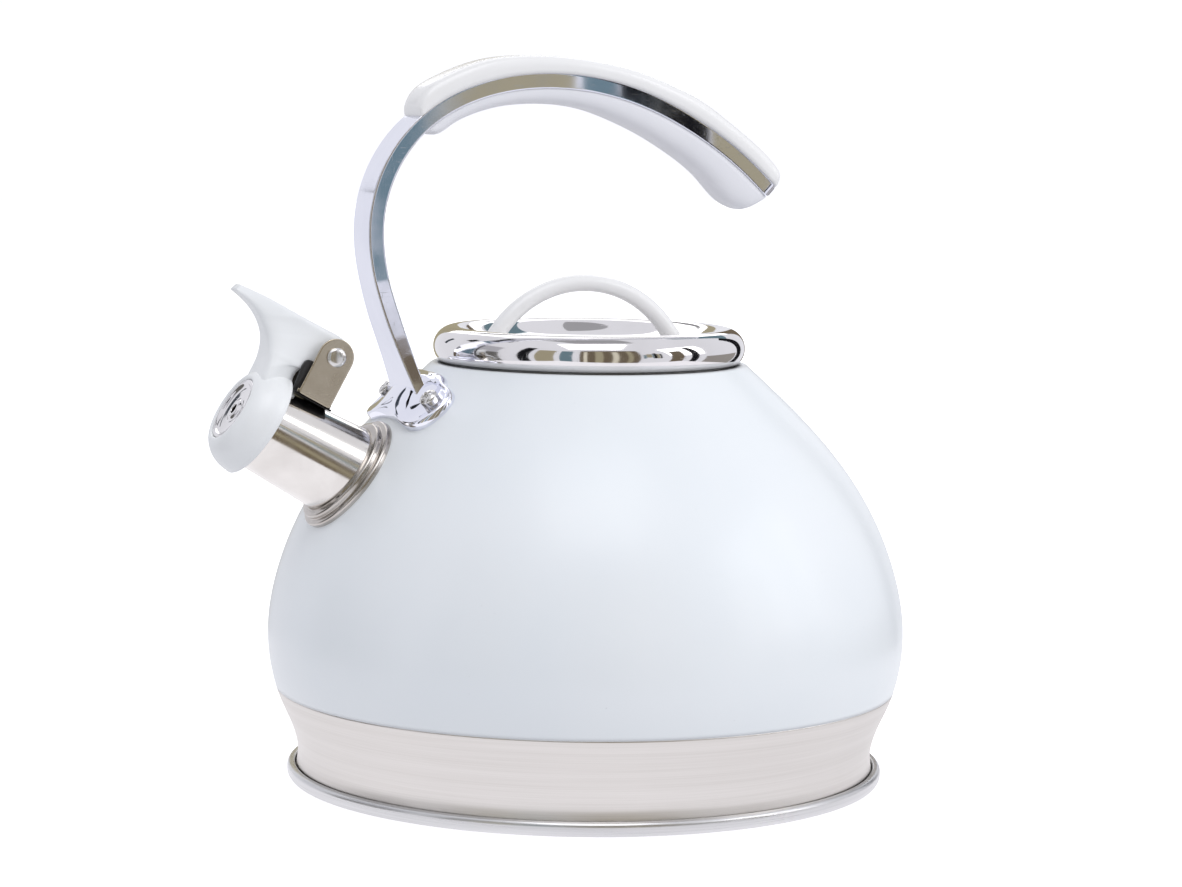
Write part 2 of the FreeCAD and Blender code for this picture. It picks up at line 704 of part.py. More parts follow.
def make_handle_saddle(skin):
    """Cast saddle that carries the strip and takes the two screws."""
    low = size("saddle_low")
    high = size("saddle_high")
    half = size("saddle_half_width")
    mask = new_body("saddle_mask")
    sketch = new_sketch(mask, "saddle_outline", "YZ_Plane",
                        FreeCAD.Placement(V(0, 0, -70), turned(0)))
    outline(sketch, (-9.0, low + 1.6), ("arc", (0, low + 2.2), (9.0, low + 1.6)),
            ("curve", [(15.0, low + 0.4), (21.0, low)], (6, -1), (6, 0.3)),
            ("arc", (half, low + 5.5), (half - 1.5, low + 10.0)),
            ("curve", [(17.0, high - 3.0), (9.0, high)], (-3, 5), (-8, 0.6)), (-9.0, high),
            ("curve", [(-17.0, high - 3.0), (-half + 1.5, low + 10.0)], (-8, -0.6), (-3, -5)),
            ("arc", (-half, low + 5.5), (-21.0, low)),
            ("curve", [(-15.0, low + 0.4), (-9.0, low + 1.6)], (6, -0.3), (6, 1)))
    pad(mask, "saddle_mask_solid", sketch, "sheet.frame_width * 4")
    plate = joined("Part::Common", "saddle_plate", skin, mask)
    holes = fused("saddle_holes", [screw_bore("saddle_bore_%d" % k, side)
                                   for k, side in enumerate((-1, 1))])
    return joined("Part::Cut", "handle_saddle", plate, holes)


def screw_seat(side):
    """Placement on the shoulder where a saddle screw enters, Z outwards."""
    swing = math.degrees(math.asin(size("screw_side") / 68.0))
    height = 131.6
    radius = 66.8
    slope = 44.5
    turn = FreeCAD.Rotation(V(0, 0, 1), 180.0 - side * swing)
    lean = FreeCAD.Rotation(V(0, 1, 0), 90.0 - slope)
    spot = turn.multVec(V(radius, 0, height))
    return FreeCAD.Placement(spot, turn.multiply(lean))


def screw_bore(name, side):
    """Clearance hole for one screw."""
    place = screw_seat(side).multiply(FreeCAD.Placement(V(0, 0, -8), turned(37, V(0, 0, 1))))
    tool = prim("Part::Cylinder", name, place, Radius="sheet.screw_shank_radius")
    tool.Height = 20
    return tool


def make_saddle_screws():
    """Two cross-recess pan-head screws."""
    screws = []
    top = size("saddle_thick")
    for k, side in enumerate((-1, 1)):
        body = new_body("saddle_screw_%d" % k)
        body.Placement = screw_seat(side)
        sketch = new_sketch(body, "saddle_screw_profile", "XZ_Plane")
        head = size("screw_head_radius")
        shank = size("screw_shank_radius")
        seat = top + 0.15
        outline(sketch, (0, -5.0), (shank, -5.0), (shank, seat), (head, seat), (head, top + 0.9),
                ("arc", (head - 0.9, top + 2.05), (0.8, top + 2.4)), (0, top + 2.4))
        revolve(body, "saddle_screw_turn", sketch)
        for angle in (0, 90):
            slot = new_sketch(body, "saddle_screw_cross", "XY_Plane", FreeCAD.Placement(
                V(0, 0, top + 1.4), turned(angle + 20, V(0, 0, 1))))
            outline(slot, (-1.7, -0.35), (1.7, -0.35), (1.7, 0.35), (-1.7, 0.35))
            pocket(body, "saddle_screw_recess", slot, "sheet.screw_shank_radius * 1.6",
                   midplane=False, flip=True)
        screws.append(body)
    return group("saddle_screws", screws)


def make_saddle_backing(skin):
    """Steel plate inside the shell that the saddle screws are tapped into."""
    mask = new_body("backing_mask")
    sketch = new_sketch(mask, "backing_outline", "YZ_Plane",
                        FreeCAD.Placement(V(0, 0, -70), turned(0)))
    outline(sketch, (-25, 127.0), (25, 127.0), (25, 136.0), (-25, 136.0))
    pad(mask, "backing_mask_solid", sketch, "sheet.frame_width * 4")
    plate = joined("Part::Common", "backing_plate", skin, mask)
    drilled = joined("Part::Cut", "backing_drilled", plate, screw_bore("backing_bore_0", 1))
    return joined("Part::Cut", "saddle_backing", drilled, screw_bore("backing_bore_1", -1))


# ---------------------------------------------------------------- lid

def make_lid_cover():
    """Polished lid: a rolled rim that turns down into a recessed plate."""
    middle = size("lid_bead_radius")
    section = size("lid_bead_section")
    height = size("lid_bead_height")
    floor = size("lid_floor")
    wall = size("lid_wall")

    def on(radius, degrees):
        angle = math.radians(degrees)
        return (middle + radius * math.cos(angle), height + radius * math.sin(angle))

    inner = section - wall
    body = new_body("lid_cover")
    sketch = new_sketch(body, "lid_cover_profile", "XZ_Plane")
    outline(sketch, on(section, -41), ("arc", on(section, 60), on(section, 168)),
            ("arc", (39.2, floor + 1.0), (37.2, floor)), (0, floor), (0, floor - wall),
            (37.4, floor - wall), ("arc", (39.9, floor + 0.3), on(inner, 170)),
            ("arc", on(inner, 60), on(inner, -41)))
    revolve(body, "lid_cover_turn", sketch)
    return body


def make_lid_skirt():
    """Ring under the lid that drops into the neck."""
    outer = size("skirt_radius")
    low = size("skirt_low")
    floor = size("lid_floor") - size("lid_wall")
    body = new_body("lid_skirt")
    sketch = new_sketch(body, "lid_skirt_profile", "XZ_Plane")
    outline(sketch, (outer - 0.6, low), (outer, low + 0.8), (outer, 143.6),
            ("arc", (48.6, 145.0), (47.4, 144.9)), (47.4, 144.2),
            ("arc", (48.4, 144.0), (outer - 0.8, 143.0)), (outer - 0.8, low + 1.2),
            (outer - 1.2, low + 0.6), (44.0, low + 0.6), (44.0, low))
    revolve(body, "lid_skirt_turn", sketch)
    plate = new_body("lid_inner_plate")
    profile = new_sketch(plate, "lid_inner_profile", "XZ_Plane")
    outline(profile, (0, low + 4.6), (43.0, low + 4.6), (43.0, low), (44.0, low), (44.0, low + 5.4),
            (0, low + 5.4))
    revolve(plate, "lid_inner_turn", profile)
    return body, plate


def bow_line():
    """Middle line of the bow: (x, z) of the arc's ends and of the feet."""
    arc = size("bow_arc")
    angle = math.radians(size("bow_angle"))
    shift = size("bow_shift")
    top = size("bow_top")
    side = arc * math.sin(angle)
    drop = arc * (1 - math.cos(angle))
    reach = size("bow_half_span")
    fall = drop + (reach - side) * math.tan(angle)
    return shift, top, side, drop, reach, fall


def make_lid_bow():
    """White bow: a round rod bent over the lid."""
    shift, top, side, drop, reach, fall = bow_line()
    left = [V(shift - reach, 0, top - fall), V(shift - side, 0, top - drop)]
    right = [V(shift + side, 0, top - drop), V(shift + reach, 0, top - fall)]
    path = Part.Wire([Part.makeLine(*left), Part.Arc(left[1], V(shift, 0, top), right[0]).toShape(),
                      Part.makeLine(*right)])
    ring = Part.Wire(Part.makeCircle(size("bow_rod"), left[0], left[1] - left[0]))
    bow = doc.addObject("Part::Feature", "lid_bow")
    bow.Shape = path.makePipeShell([ring], True, True)
    return bow


def make_bow_ferrules(bow):
    """Chromed posts that stand on the lid plate and carry the bow's ends."""
    shift, top, side, drop, reach, fall = bow_line()
    floor = size("lid_floor")
    posts = []
    for sign in (-1, 1):
        foot = V(shift + sign * (reach + 1.6), 0, floor)
        end = V(shift + sign * reach, 0, top - fall)
        post = Part.makeCone(3.3, 2.5, (end - foot).Length + 0.8, foot, end - foot)
        post = post.common(Part.makeBox(90, 20, 40, V(-45, -10, floor)))
        posts.append(max(post.cut(bow.Shape).Solids, key=lambda solid: solid.Volume))
    return posts


def make_bow_nuts():
    """Studs with washers and nuts under the lid plate."""
    shift, top, side, drop, reach, fall = bow_line()
    floor = size("lid_floor") - size("lid_wall")
    nuts = []
    for sign in (-1, 1):
        x = shift + sign * (reach + 1.6)
        washer = Part.makeCylinder(3.6, 0.7, V(x, 0, floor - 0.7))
        corners = [V(x + 3.2 * math.cos(math.radians(60 * k)),
                     3.2 * math.sin(math.radians(60 * k)), floor - 3.4) for k in range(7)]
        nut = Part.Face(Part.makePolygon(corners)).extrude(V(0, 0, 2.7))
        stud = Part.makeCylinder(1.4, 4.2, V(x, 0, floor - 4.2))
        nuts.append(washer.fuse([nut, stud]))
    return nuts


def feature(name, solids):
    """A node holding shapes made with Part functions."""
    obj = doc.addObject("Part::Feature", name)
    obj.Shape = Part.makeCompound(solids) if len(solids) > 1 else solids[0]
    return obj


# ---------------------------------------------------------------- assembly

def make_core_solid(name, skin):
    """Everything inside the shoulder grown by a skin, used only to trim others."""
    body = new_body(name)
    sketch = new_sketch(body, name + "_profile", "XZ_Plane")
    stations = offset_points(shoulder_stations(), -skin, *SHOULDER_ENDS)
    outline(sketch, stations[0], ("curve", stations[1:]) + SHOULDER_ENDS,
            (0, stations[-1][1]), (0, stations[0][1]))
    revolve(body, name + "_turn", sketch)
    return body


inside = make_core_solid("shoulder_core", 0.0)
nodes = [make_upper_shell(), make_lower_shell(), make_base_pan(), make_base_core(),
         make_pan_floor(), make_neck_ring()]
nodes.append(make_spout_tube(inside))
nodes.append(make_spout_collar(inside))
nodes += [make_hinge_bracket(), make_bracket_pad(), make_hinge_pin()]
springs = feature("hinge_springs", make_hinge_springs())
springs.Placement = FreeCAD.Placement(PIN, turned(0))
nodes.append(springs)
nodes += [make_cap_shell(), make_whistle_disc(), make_whistle_cup(), make_cap_seal()]
saddle = make_handle_saddle(layer("saddle_skin", 0.0, size("saddle_thick")))
frame_blank = make_handle_frame()
frame_blank.Label = "handle_strip"
frame = joined("Part::Cut", "handle_frame_node", frame_blank,
               make_core_solid("saddle_core", size("saddle_thick")))
frame.Label = "handle_frame"
nodes += [saddle, frame, make_grip_top(), make_grip_under(), make_saddle_screws()]
nodes.append(make_saddle_backing(layer("backing_skin", -2.4, -size("wall"))))
nodes.append(make_lid_cover())
nodes += list(make_lid_skirt())
bow = make_lid_bow()
nodes += [bow, feature("bow_ferrules", make_bow_ferrules(bow)),
          feature("bow_nuts", make_bow_nuts())]
doc.recompute()

faults = []
for obj in doc.Objects:
    if "Invalid" in obj.State or "Error" in obj.State:
        faults.append("%s: %s" % (obj.Name, obj.State))
for node in nodes:
    shape = node.Shape
    if shape.isNull() or not shape.isValid():
        faults.append("%s: shape is not valid" % node.Label)
    elif not shape.Solids:
        faults.append("%s: no solid" % node.Label)
if faults:
    raise RuntimeError("; ".join(faults))

for node in nodes:
    solids = node.Shape.Solids
    box = node.Shape.BoundBox
    print("%-16s %2d solids %9.1f mm3  X %.1f..%.1f Y %.1f..%.1f Z %.1f..%.1f" % (
        node.Label, len(solids), sum(s.Volume for s in solids), box.XMin, box.XMax,
        box.YMin, box.YMax, box.ZMin, box.ZMax))
    node.Shape.exportStep("parts/%s.step" % node.Label)
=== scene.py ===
# %% [markdown]
# # A stovetop whistling kettle
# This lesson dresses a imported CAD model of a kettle. The CAD frame gives every position
# and every moving body; here the visible skins are made again as smooth surfaces worked
# out with numpy, and each one gets a finish built from shader nodes. Lengths below are
# in millimetres until the moment a mesh is made, because that is how a kettle is drawn.

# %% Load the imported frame
import math

import bmesh
import bpy
import numpy as np
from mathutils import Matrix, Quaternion, Vector


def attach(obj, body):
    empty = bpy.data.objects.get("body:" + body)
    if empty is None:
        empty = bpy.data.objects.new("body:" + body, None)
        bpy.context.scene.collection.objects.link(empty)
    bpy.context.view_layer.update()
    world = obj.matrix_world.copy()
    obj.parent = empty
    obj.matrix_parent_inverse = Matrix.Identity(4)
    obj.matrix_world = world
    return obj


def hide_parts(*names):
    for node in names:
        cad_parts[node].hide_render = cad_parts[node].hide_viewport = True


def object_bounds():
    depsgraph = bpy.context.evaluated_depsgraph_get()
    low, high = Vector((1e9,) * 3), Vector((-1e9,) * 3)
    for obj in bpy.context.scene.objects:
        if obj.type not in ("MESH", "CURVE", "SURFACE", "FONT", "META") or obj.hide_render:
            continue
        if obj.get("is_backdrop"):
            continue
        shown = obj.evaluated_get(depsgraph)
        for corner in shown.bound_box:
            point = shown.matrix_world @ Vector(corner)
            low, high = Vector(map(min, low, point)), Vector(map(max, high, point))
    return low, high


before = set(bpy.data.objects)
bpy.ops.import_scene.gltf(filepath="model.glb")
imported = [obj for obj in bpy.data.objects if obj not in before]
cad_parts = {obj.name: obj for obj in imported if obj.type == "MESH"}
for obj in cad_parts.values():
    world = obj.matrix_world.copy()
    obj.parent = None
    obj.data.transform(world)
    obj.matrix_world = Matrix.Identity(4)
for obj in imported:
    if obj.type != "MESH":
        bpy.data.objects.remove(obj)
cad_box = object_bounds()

MM = 0.001
TURN = 2 * math.pi

# %% [markdown]
# ## The camera
# The camera stands a little over a metre away, to the spout side of the kettle's broad
# face, slightly above the lid. A long lens keeps the round body from bulging. It is
# placed first, so that everything made later can be judged through it. It could be aimed
# with a Track To constraint, but plain numbers stay put when other views move it.

# %% Camera
VIEW_SIDE, AWAY, HIGH = math.radians(23.5), 1.1068, 0.2322
camera = bpy.data.objects.new("camera", bpy.data.cameras.new("camera"))
bpy.context.scene.collection.objects.link(camera)
camera.location = (-AWAY * math.sin(VIEW_SIDE), -AWAY * math.cos(VIEW_SIDE), HIGH)
aim_side, aim_down, roll = VIEW_SIDE + 0.001, 0.1054, 0.0129
aim = Vector((math.sin(aim_side) * math.cos(aim_down), math.cos(aim_side) * math.cos(aim_down),
              -math.sin(aim_down)))
camera.rotation_mode = "QUATERNION"
camera.rotation_quaternion = aim.to_track_quat("-Z", "Y") @ Quaternion((0, 0, 1), roll)
camera.data.lens = 98.2
camera.data.sensor_width = 36.0
camera.data.clip_start, camera.data.clip_end = 0.05, 50
bpy.context.scene.camera = camera
print("camera", [round(v, 3) for v in camera.location], "lens", camera.data.lens)

# %% [markdown]
# ## Curves and outlines
# Almost every part of a kettle is a profile that is turned on an axis or carried along a
# line. A smooth profile comes from a cubic spline through a few stations. A pressed or
# moulded edge comes from a polygon whose corners are rounded. Both are short to write
# and need no modelling by hand, and the same two helpers serve every piece.


# %% Spline and rounded polygon
def spline_through(stations, count, first=None, last=None):
    """`count` points on the smooth curve through the stations.

    A cubic in each span, with the slopes solved so that the bending is continuous too;
    the parameter is the distance along the chords, so an end direction has length one.
    """
    p = np.asarray(stations, float)
    span = np.linalg.norm(np.diff(p, axis=0), axis=1)
    mark = np.concatenate([[0.0], np.cumsum(span)])
    n = len(p)
    left, right = np.zeros((n, n)), np.zeros((n, p.shape[1]))
    i = np.arange(1, n - 1)
    left[i, i - 1], left[i, i], left[i, i + 1] = span[i], 2 * (span[i - 1] + span[i]), span[i - 1]
    rise = np.diff(p, axis=0) / span[:, None]
    right[i] = 3 * (span[i, None] * rise[i - 1] + span[i - 1, None] * rise[i])
    for row, near, direction, chord in ((0, 1, first, rise[0]), (n - 1, n - 2, last, rise[-1])):
        left[row, row] = 1.0 if direction is not None else 2.0
        left[row, near] += 0.0 if direction is not None else 1.0
        right[row] = 3 * chord if direction is None else np.array(direction) / np.linalg.norm(direction)
    slope = np.linalg.solve(left, right)
    u = np.linspace(0, mark[-1], count)
    k = np.clip(np.searchsorted(mark, u, side="right") - 1, 0, n - 2)
    h = span[k, None]
    t = (u[:, None] - mark[k, None]) / h
    return ((2 * t**3 - 3 * t**2 + 1) * p[k] + (t**3 - 2 * t**2 + t) * h * slope[k]
            + (3 * t**2 - 2 * t**3) * p[k + 1] + (t**3 - t**2) * h * slope[k + 1])


def rounded(corners, steps=6, hold=0.08):
    """A closed outline from corners (a, b, radius).

    Each corner becomes a parabola that starts and ends its radius away, with one
    holding point just outside each end, so that flat stretches shade flat.
    """
    c = np.asarray(corners, float)
    p, radius = c[:, :2], c[:, 2:]
    back, ahead = np.roll(p, 1, 0) - p, np.roll(p, -1, 0) - p
    back_long = np.linalg.norm(back, axis=1, keepdims=True)
    ahead_long = np.linalg.norm(ahead, axis=1, keepdims=True)
    back, ahead = back / back_long, ahead / ahead_long
    start = p + back * np.minimum(radius, 0.45 * back_long)
    end = p + ahead * np.minimum(radius, 0.45 * ahead_long)
    before = p + back * np.minimum(radius + hold, 0.49 * back_long)
    after = p + ahead * np.minimum(radius + hold, 0.49 * ahead_long)
    t = np.linspace(0, 1, steps)[None, :, None]
    bend = (1 - t) ** 2 * start[:, None] + 2 * t * (1 - t) * p[:, None] + t**2 * end[:, None]
    return np.concatenate([before[:, None], bend, after[:, None]], 1).reshape(-1, 2)


def arc(middle, radius, first, last, count):
    """Points on a circle between two angles in degrees."""
    a = np.radians(np.linspace(first, last, count))
    return np.stack([middle[0] + radius * np.cos(a), middle[1] + radius * np.sin(a)], 1)


print("a rounded square has", len(rounded([(0, 0, 1), (9, 0, 1), (9, 9, 1), (0, 9, 1)])), "points")

# %% [markdown]
# ## From a grid to a piece
# A grid of points becomes quads by joining each point to its neighbours. Grids close on
# themselves round the axis, and also along the profile when the profile is a closed
# outline. Where a row shrinks to one point its copies are merged, so poles are closed,
# and the normals are recalculated so that every shell faces outwards. A single sheet is
# turned to face away from a point inside and then gets its thickness from Solidify.


# %% Grids, placing and the piece maker
def quads(rows, columns, wrap_rows, wrap_columns=True):
    """Corner numbers of the faces of a grid, each row joined to the next."""
    i = np.arange(rows if wrap_rows else rows - 1)[:, None]
    j = np.arange(columns if wrap_columns else columns - 1)[None, :]
    down, across = (i + 1) % rows, (j + 1) % columns
    return np.stack([i * columns + j, i * columns + across, down * columns + across,
                     down * columns + j], -1).reshape(-1, 4)


def shell(grid, closed=True):
    """A grid (rows, columns, 3) as points and faces; closed joins last row to first."""
    rows, columns = grid.shape[:2]
    return grid.reshape(-1, 3), quads(rows, columns, closed)


def with_ends(grid):
    """The same grid with each end drawn in to its middle, which closes it."""
    ends = [np.repeat(grid[k].mean(0)[None], grid.shape[1], 0)[None] for k in (0, -1)]
    return np.concatenate([ends[0], grid, ends[1]])


def faces_inwards(mesh, inside):
    """Whether the faces look, on the whole, towards a point given in mm."""
    count = len(mesh.polygons)
    centre, normal, area = np.empty(3 * count), np.empty(3 * count), np.empty(count)
    for key, values in (("center", centre), ("normal", normal), ("area", area)):
        mesh.polygons.foreach_get(key, values)
    away = centre.reshape(-1, 3) - np.array(inside) * MM
    return np.sum(away * normal.reshape(-1, 3) * area[:, None]) < 0


def make_piece(name, body, finish, shells, node, sheet=None, inside=(0, 0, 80)):
    """A smooth mesh object from shells in mm, riding on a body and standing for a CAD node."""
    starts = np.cumsum([0] + [len(points) for points, _ in shells])
    points = np.concatenate([points for points, _ in shells]) * MM
    faces = np.concatenate([faces + start for (_, faces), start in zip(shells, starts)])
    mesh = bpy.data.meshes.new(name)
    mesh.from_pydata(points.tolist(), [], faces.tolist())
    work = bmesh.new()
    work.from_mesh(mesh)
    bmesh.ops.remove_doubles(work, verts=work.verts, dist=2e-6)
    bmesh.ops.delete(work, geom=[e for e in work.edges if not e.link_faces], context="EDGES")
    bmesh.ops.recalc_face_normals(work, faces=work.faces)
    work.to_mesh(mesh)
    work.free()
    if sheet is not None and faces_inwards(mesh, inside):
        mesh.flip_normals()
    mesh.shade_smooth()
    mesh.materials.append(finish)
    piece = bpy.data.objects.new(name, mesh)
    bpy.context.scene.collection.objects.link(piece)
    if sheet is not None:
        wall = piece.modifiers.new("wall", "SOLIDIFY")
        wall.thickness, wall.offset, wall.use_even_offset = sheet * MM, -1.0, True
    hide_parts(node)
    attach(piece, body)
    span = np.ptp(points, axis=0) / MM
    print("%-20s %6d faces, %5.1f x %5.1f x %5.1f mm" % (name, len(mesh.polygons), *span))


def turned(outline, around=224):
    """The outline (radius, height) turned about Z: (r cos a, r sin a, z)."""
    a = np.linspace(0, TURN, around, endpoint=False)[None]
    radius, height = outline[:, :1], outline[:, 1:2]
    return np.stack([radius * np.cos(a), radius * np.sin(a), height + 0 * a], -1)


def placed(grid, origin, along):
    """The grid moved so that its Z runs along a direction; its Y stays level."""
    z = np.array(along, float) / np.linalg.norm(along)
    y = np.array((0.0, 1.0, 0.0)) if abs(z[1]) < 0.9 else np.array((0.0, 0.0, -1.0))
    y = y - z * y.dot(z)
    y /= np.linalg.norm(y)
    return np.asarray(origin, float) + grid @ np.stack([np.cross(y, z), y, z])


print("a turned ring has", len(quads(8, 224, True)), "quads")

# %% [markdown]
# ## Shader nodes as arithmetic
# A finish is mostly sums: a bit of noise times a strength, added to a base roughness. A
# small class wraps one socket and gives it the ordinary operators, so that `0.3 + 0.1 *
# grain` adds the Math nodes by itself. Every other node comes from one method, which
# takes the node's type, its settings, and the values or links of its sockets.


# %% The socket class and the finish builder
class Wire:
    """One output socket; arithmetic on it adds Math nodes."""

    def __init__(self, finish, socket):
        self.finish, self.socket = finish, socket

    def math(self, operation, first, second):
        return self.finish.node("ShaderNodeMath", {"operation": operation}, {0: first, 1: second})

    def __add__(self, other):
        return self.math("ADD", self, other)

    def __sub__(self, other):
        return self.math("SUBTRACT", self, other)

    def __rsub__(self, other):
        return self.math("SUBTRACT", other, self)

    def __mul__(self, other):
        return self.math("MULTIPLY", self, other)

    __radd__, __rmul__ = __add__, __mul__


class Finish:
    """A material with one Principled shader, filled in by the calls below."""

    def __init__(self, name):
        self.material = bpy.data.materials.new(name)
        self.material.use_nodes = True
        self.tree = self.material.node_tree
        self.shader = self.tree.nodes["Principled BSDF"]
        self.place = self.node("ShaderNodeTexCoord", output="Object")

    def node(self, kind, settings=(), sockets=(), output=0):
        """Adds a node: settings first, then the values or links of its sockets."""
        made = self.tree.nodes.new(kind)
        for key, value in dict(settings).items():
            setattr(made, key, value)
        for key, value in dict(sockets).items():
            if isinstance(value, Wire):
                self.tree.links.new(value.socket, made.inputs[key])
            else:
                made.inputs[key].default_value = value
        return Wire(self, made.outputs[output])

    def stretch(self, x, y, z):
        """Object coordinates multiplied by a factor for each axis."""
        return self.node("ShaderNodeVectorMath", {"operation": "MULTIPLY"},
                         {0: self.place, 1: (x, y, z)})

    def noise(self, scale, detail=3.0, place=None):
        """Noise between 0 and 1 with features about 1 / scale metres long."""
        return self.node("ShaderNodeTexNoise", (), {"Vector": place or self.place,
                                                    "Scale": scale, "Detail": detail})

    def band(self, value, low, high, start=0.0, end=1.0):
        """A value carried smoothly from one range to another."""
        return self.node("ShaderNodeMapRange", {"interpolation_type": "SMOOTHSTEP"},
                         {0: value, 1: low, 2: high, 3: start, 4: end})

    def blend(self, amount, first, second):
        """Two colours mixed by an amount."""
        first, second = [c if isinstance(c, Wire) else (*c, 1.0) for c in (first, second)]
        return self.node("ShaderNodeMix", {"data_type": "RGBA"}, {0: amount, 6: first, 7: second}, 2)

    def bump(self, height, depth):
        """A normal from a height between 0 and 1 that stands for a depth in metres."""
        return self.node("ShaderNodeBump", (), {"Strength": 1.0, "Distance": depth, "Height": height})

    def finish(self, varying, **even):
        """Links what varies and sets what is even on the shader's own sockets."""
        for key, value in varying.items():
            self.tree.links.new(value.socket, self.shader.inputs[key])
        for key, value in even.items():
            self.shader.inputs[key.replace("_", " ").title()].default_value = value
        print("finish", self.material.name, "has", len(self.tree.nodes), "nodes")
        return self.material


# %% [markdown]
# ## White enamel, plastics and rubber
# The body is a satin white enamel with a faint cool cast. Sprayed enamel is never quite
# flat, so a fine ripple goes into the normal, and a broad cloud moves colour and gloss
# by a few percent. Near the seam the coat thins over the rolled edge and looks greyer.
# The plastics use the same recipe with a finer moulded grain. Painted image textures
# could do this too, but noise on Object coordinates has no seams and needs no file.


# %% Painted and moulded finishes
def moulded(name, light, dark, rough, grain, depth, **even):
    """A non-metal finish: cloudy colour, cloudy gloss, fine grain and faint rub marks."""
    f = Finish(name)
    cloud = f.noise(23.0, 4.0)
    fine = f.noise(grain, 2.0)
    rub = f.band(f.noise(140.0, 5.0, f.stretch(1.0, 1.0, 0.35)), 0.62, 0.74)
    colour = f.blend(0.5 * f.band(cloud, 0.35, 0.7) + 0.25 * rub, light, dark)
    return f.finish({"Base Color": colour,
                     "Roughness": rough - 0.05 + 0.1 * cloud + 0.06 * rub,
                     "Normal": f.bump(fine + 0.4 * rub, depth)}, **even)


def enamel():
    """Sprayed enamel with a ripple and a thinner, greyer edge at the seam."""
    f = Finish("satin_white_enamel")
    height = f.node("ShaderNodeSeparateXYZ", (), {0: f.place}, "Z")
    cloud = f.noise(16.0, 4.0)
    ripple = f.noise(330.0, 2.0)
    edge = f.band(height, 0.0332, 0.0320)
    worn = edge * f.band(f.noise(70.0, 3.0), 0.4, 0.8)
    speck = f.band(f.noise(900.0, 1.0), 0.80, 0.84)
    colour = f.blend(f.band(cloud, 0.3, 0.75), (0.845, 0.880, 0.900), (0.815, 0.858, 0.885))
    colour = f.blend(0.12 * worn + 0.1 * edge + 0.3 * speck, colour, (0.50, 0.50, 0.53))
    return f.finish({"Base Color": colour, "Roughness": 0.34 + 0.09 * cloud + 0.1 * worn,
                     "Normal": f.bump(ripple - 0.5 * edge, 0.000012)},
                    coat_weight=0.35, coat_roughness=0.22)


ENAMEL = enamel()
WHITE_GLOSS = moulded("white_gloss_plastic", (0.86, 0.86, 0.855), (0.80, 0.80, 0.79), 0.24,
                      1500.0, 0.000006, coat_weight=0.2, coat_roughness=0.12)
CAP_WHITE = moulded("white_cap_plastic", (0.85, 0.868, 0.872), (0.79, 0.81, 0.82), 0.34,
                    1900.0, 0.000008, coat_weight=0.15, coat_roughness=0.2)
GRIP_SOFT = moulded("soft_grip_rubber", (0.82, 0.825, 0.86), (0.75, 0.76, 0.80), 0.55,
                    2600.0, 0.00002, sheen_weight=0.15)
SEAL = moulded("seal_silicone", (0.70, 0.70, 0.69), (0.6, 0.6, 0.59), 0.6, 1200.0, 0.00001)
# Black for the bracket's pad and for plates that paint the shade between the ears.
PAD_AND_SHADE_BLACK = moulded("black_pad_and_painted_shade", (0.022, 0.022, 0.024), (0.05, 0.05, 0.052), 0.3, 1400.0, 0.000015)

# %% [markdown]
# ## Steel, brushed and polished
# Three things tell steels apart: how mirror-like they are, which way the grain runs and
# how warm the metal is. The foot band was brushed while it turned, so its lines run
# round the body: the noise is sampled at the direction from the axis, which changes
# slowly, and at the height times a large number, which changes fast. Polished pieces
# keep only hairlines and finger haze. A little anisotropy widens the band's highlight;
# the lines in the bump and the roughness carry the grain.


# %% Metal finishes
def brushed(name, light, dark, rough, depth, lines=1500.0, anisotropic=0.0):
    """Steel brushed round the Z axis: streaks by height, slow change round the body."""
    f = Finish(name)
    outwards = f.node("ShaderNodeVectorMath", {"operation": "NORMALIZE"}, {0: f.stretch(1, 1, 0)})
    spun = f.node("ShaderNodeVectorMath", {"operation": "MULTIPLY_ADD"},
                  {0: outwards, 1: (2.2, 2.2, 0.0), 2: f.stretch(0, 0, lines)})
    fine = f.noise(1.0, 4.0, spun)
    broad = f.noise(0.16, 2.0, spun)
    haze = f.noise(30.0, 3.0)
    colour = f.blend(f.band(0.5 * fine + 0.5 * broad, 0.25, 0.75), dark, light)
    return f.finish({"Base Color": colour, "Roughness": rough - 0.1 + 0.14 * fine + 0.1 * haze,
                     "Normal": f.bump(fine, depth)}, metallic=1.0, anisotropic=anisotropic)


def polished(name, light, dark, rough, haze_size=38.0, scratches=1.0):
    """Mirror metal: finger haze in the gloss, hairlines two ways, a little tarnish."""
    f = Finish(name)
    haze = f.band(f.noise(haze_size, 5.0), 0.35, 0.75)
    hair = f.noise(1.0, 3.0, f.stretch(120.0, 120.0, 4200.0))
    cross = f.noise(1.0, 3.0, f.stretch(3600.0, 260.0, 260.0))
    mark = f.band(hair, 0.66, 0.74) + f.band(cross, 0.68, 0.76)
    colour = f.blend(0.65 * haze + 0.15 * mark, light, dark)
    return f.finish({"Base Color": colour, "Roughness": rough + 0.07 * haze + 0.08 * mark,
                     "Normal": f.bump(1.0 - scratches * mark, 0.000002)}, metallic=1.0)


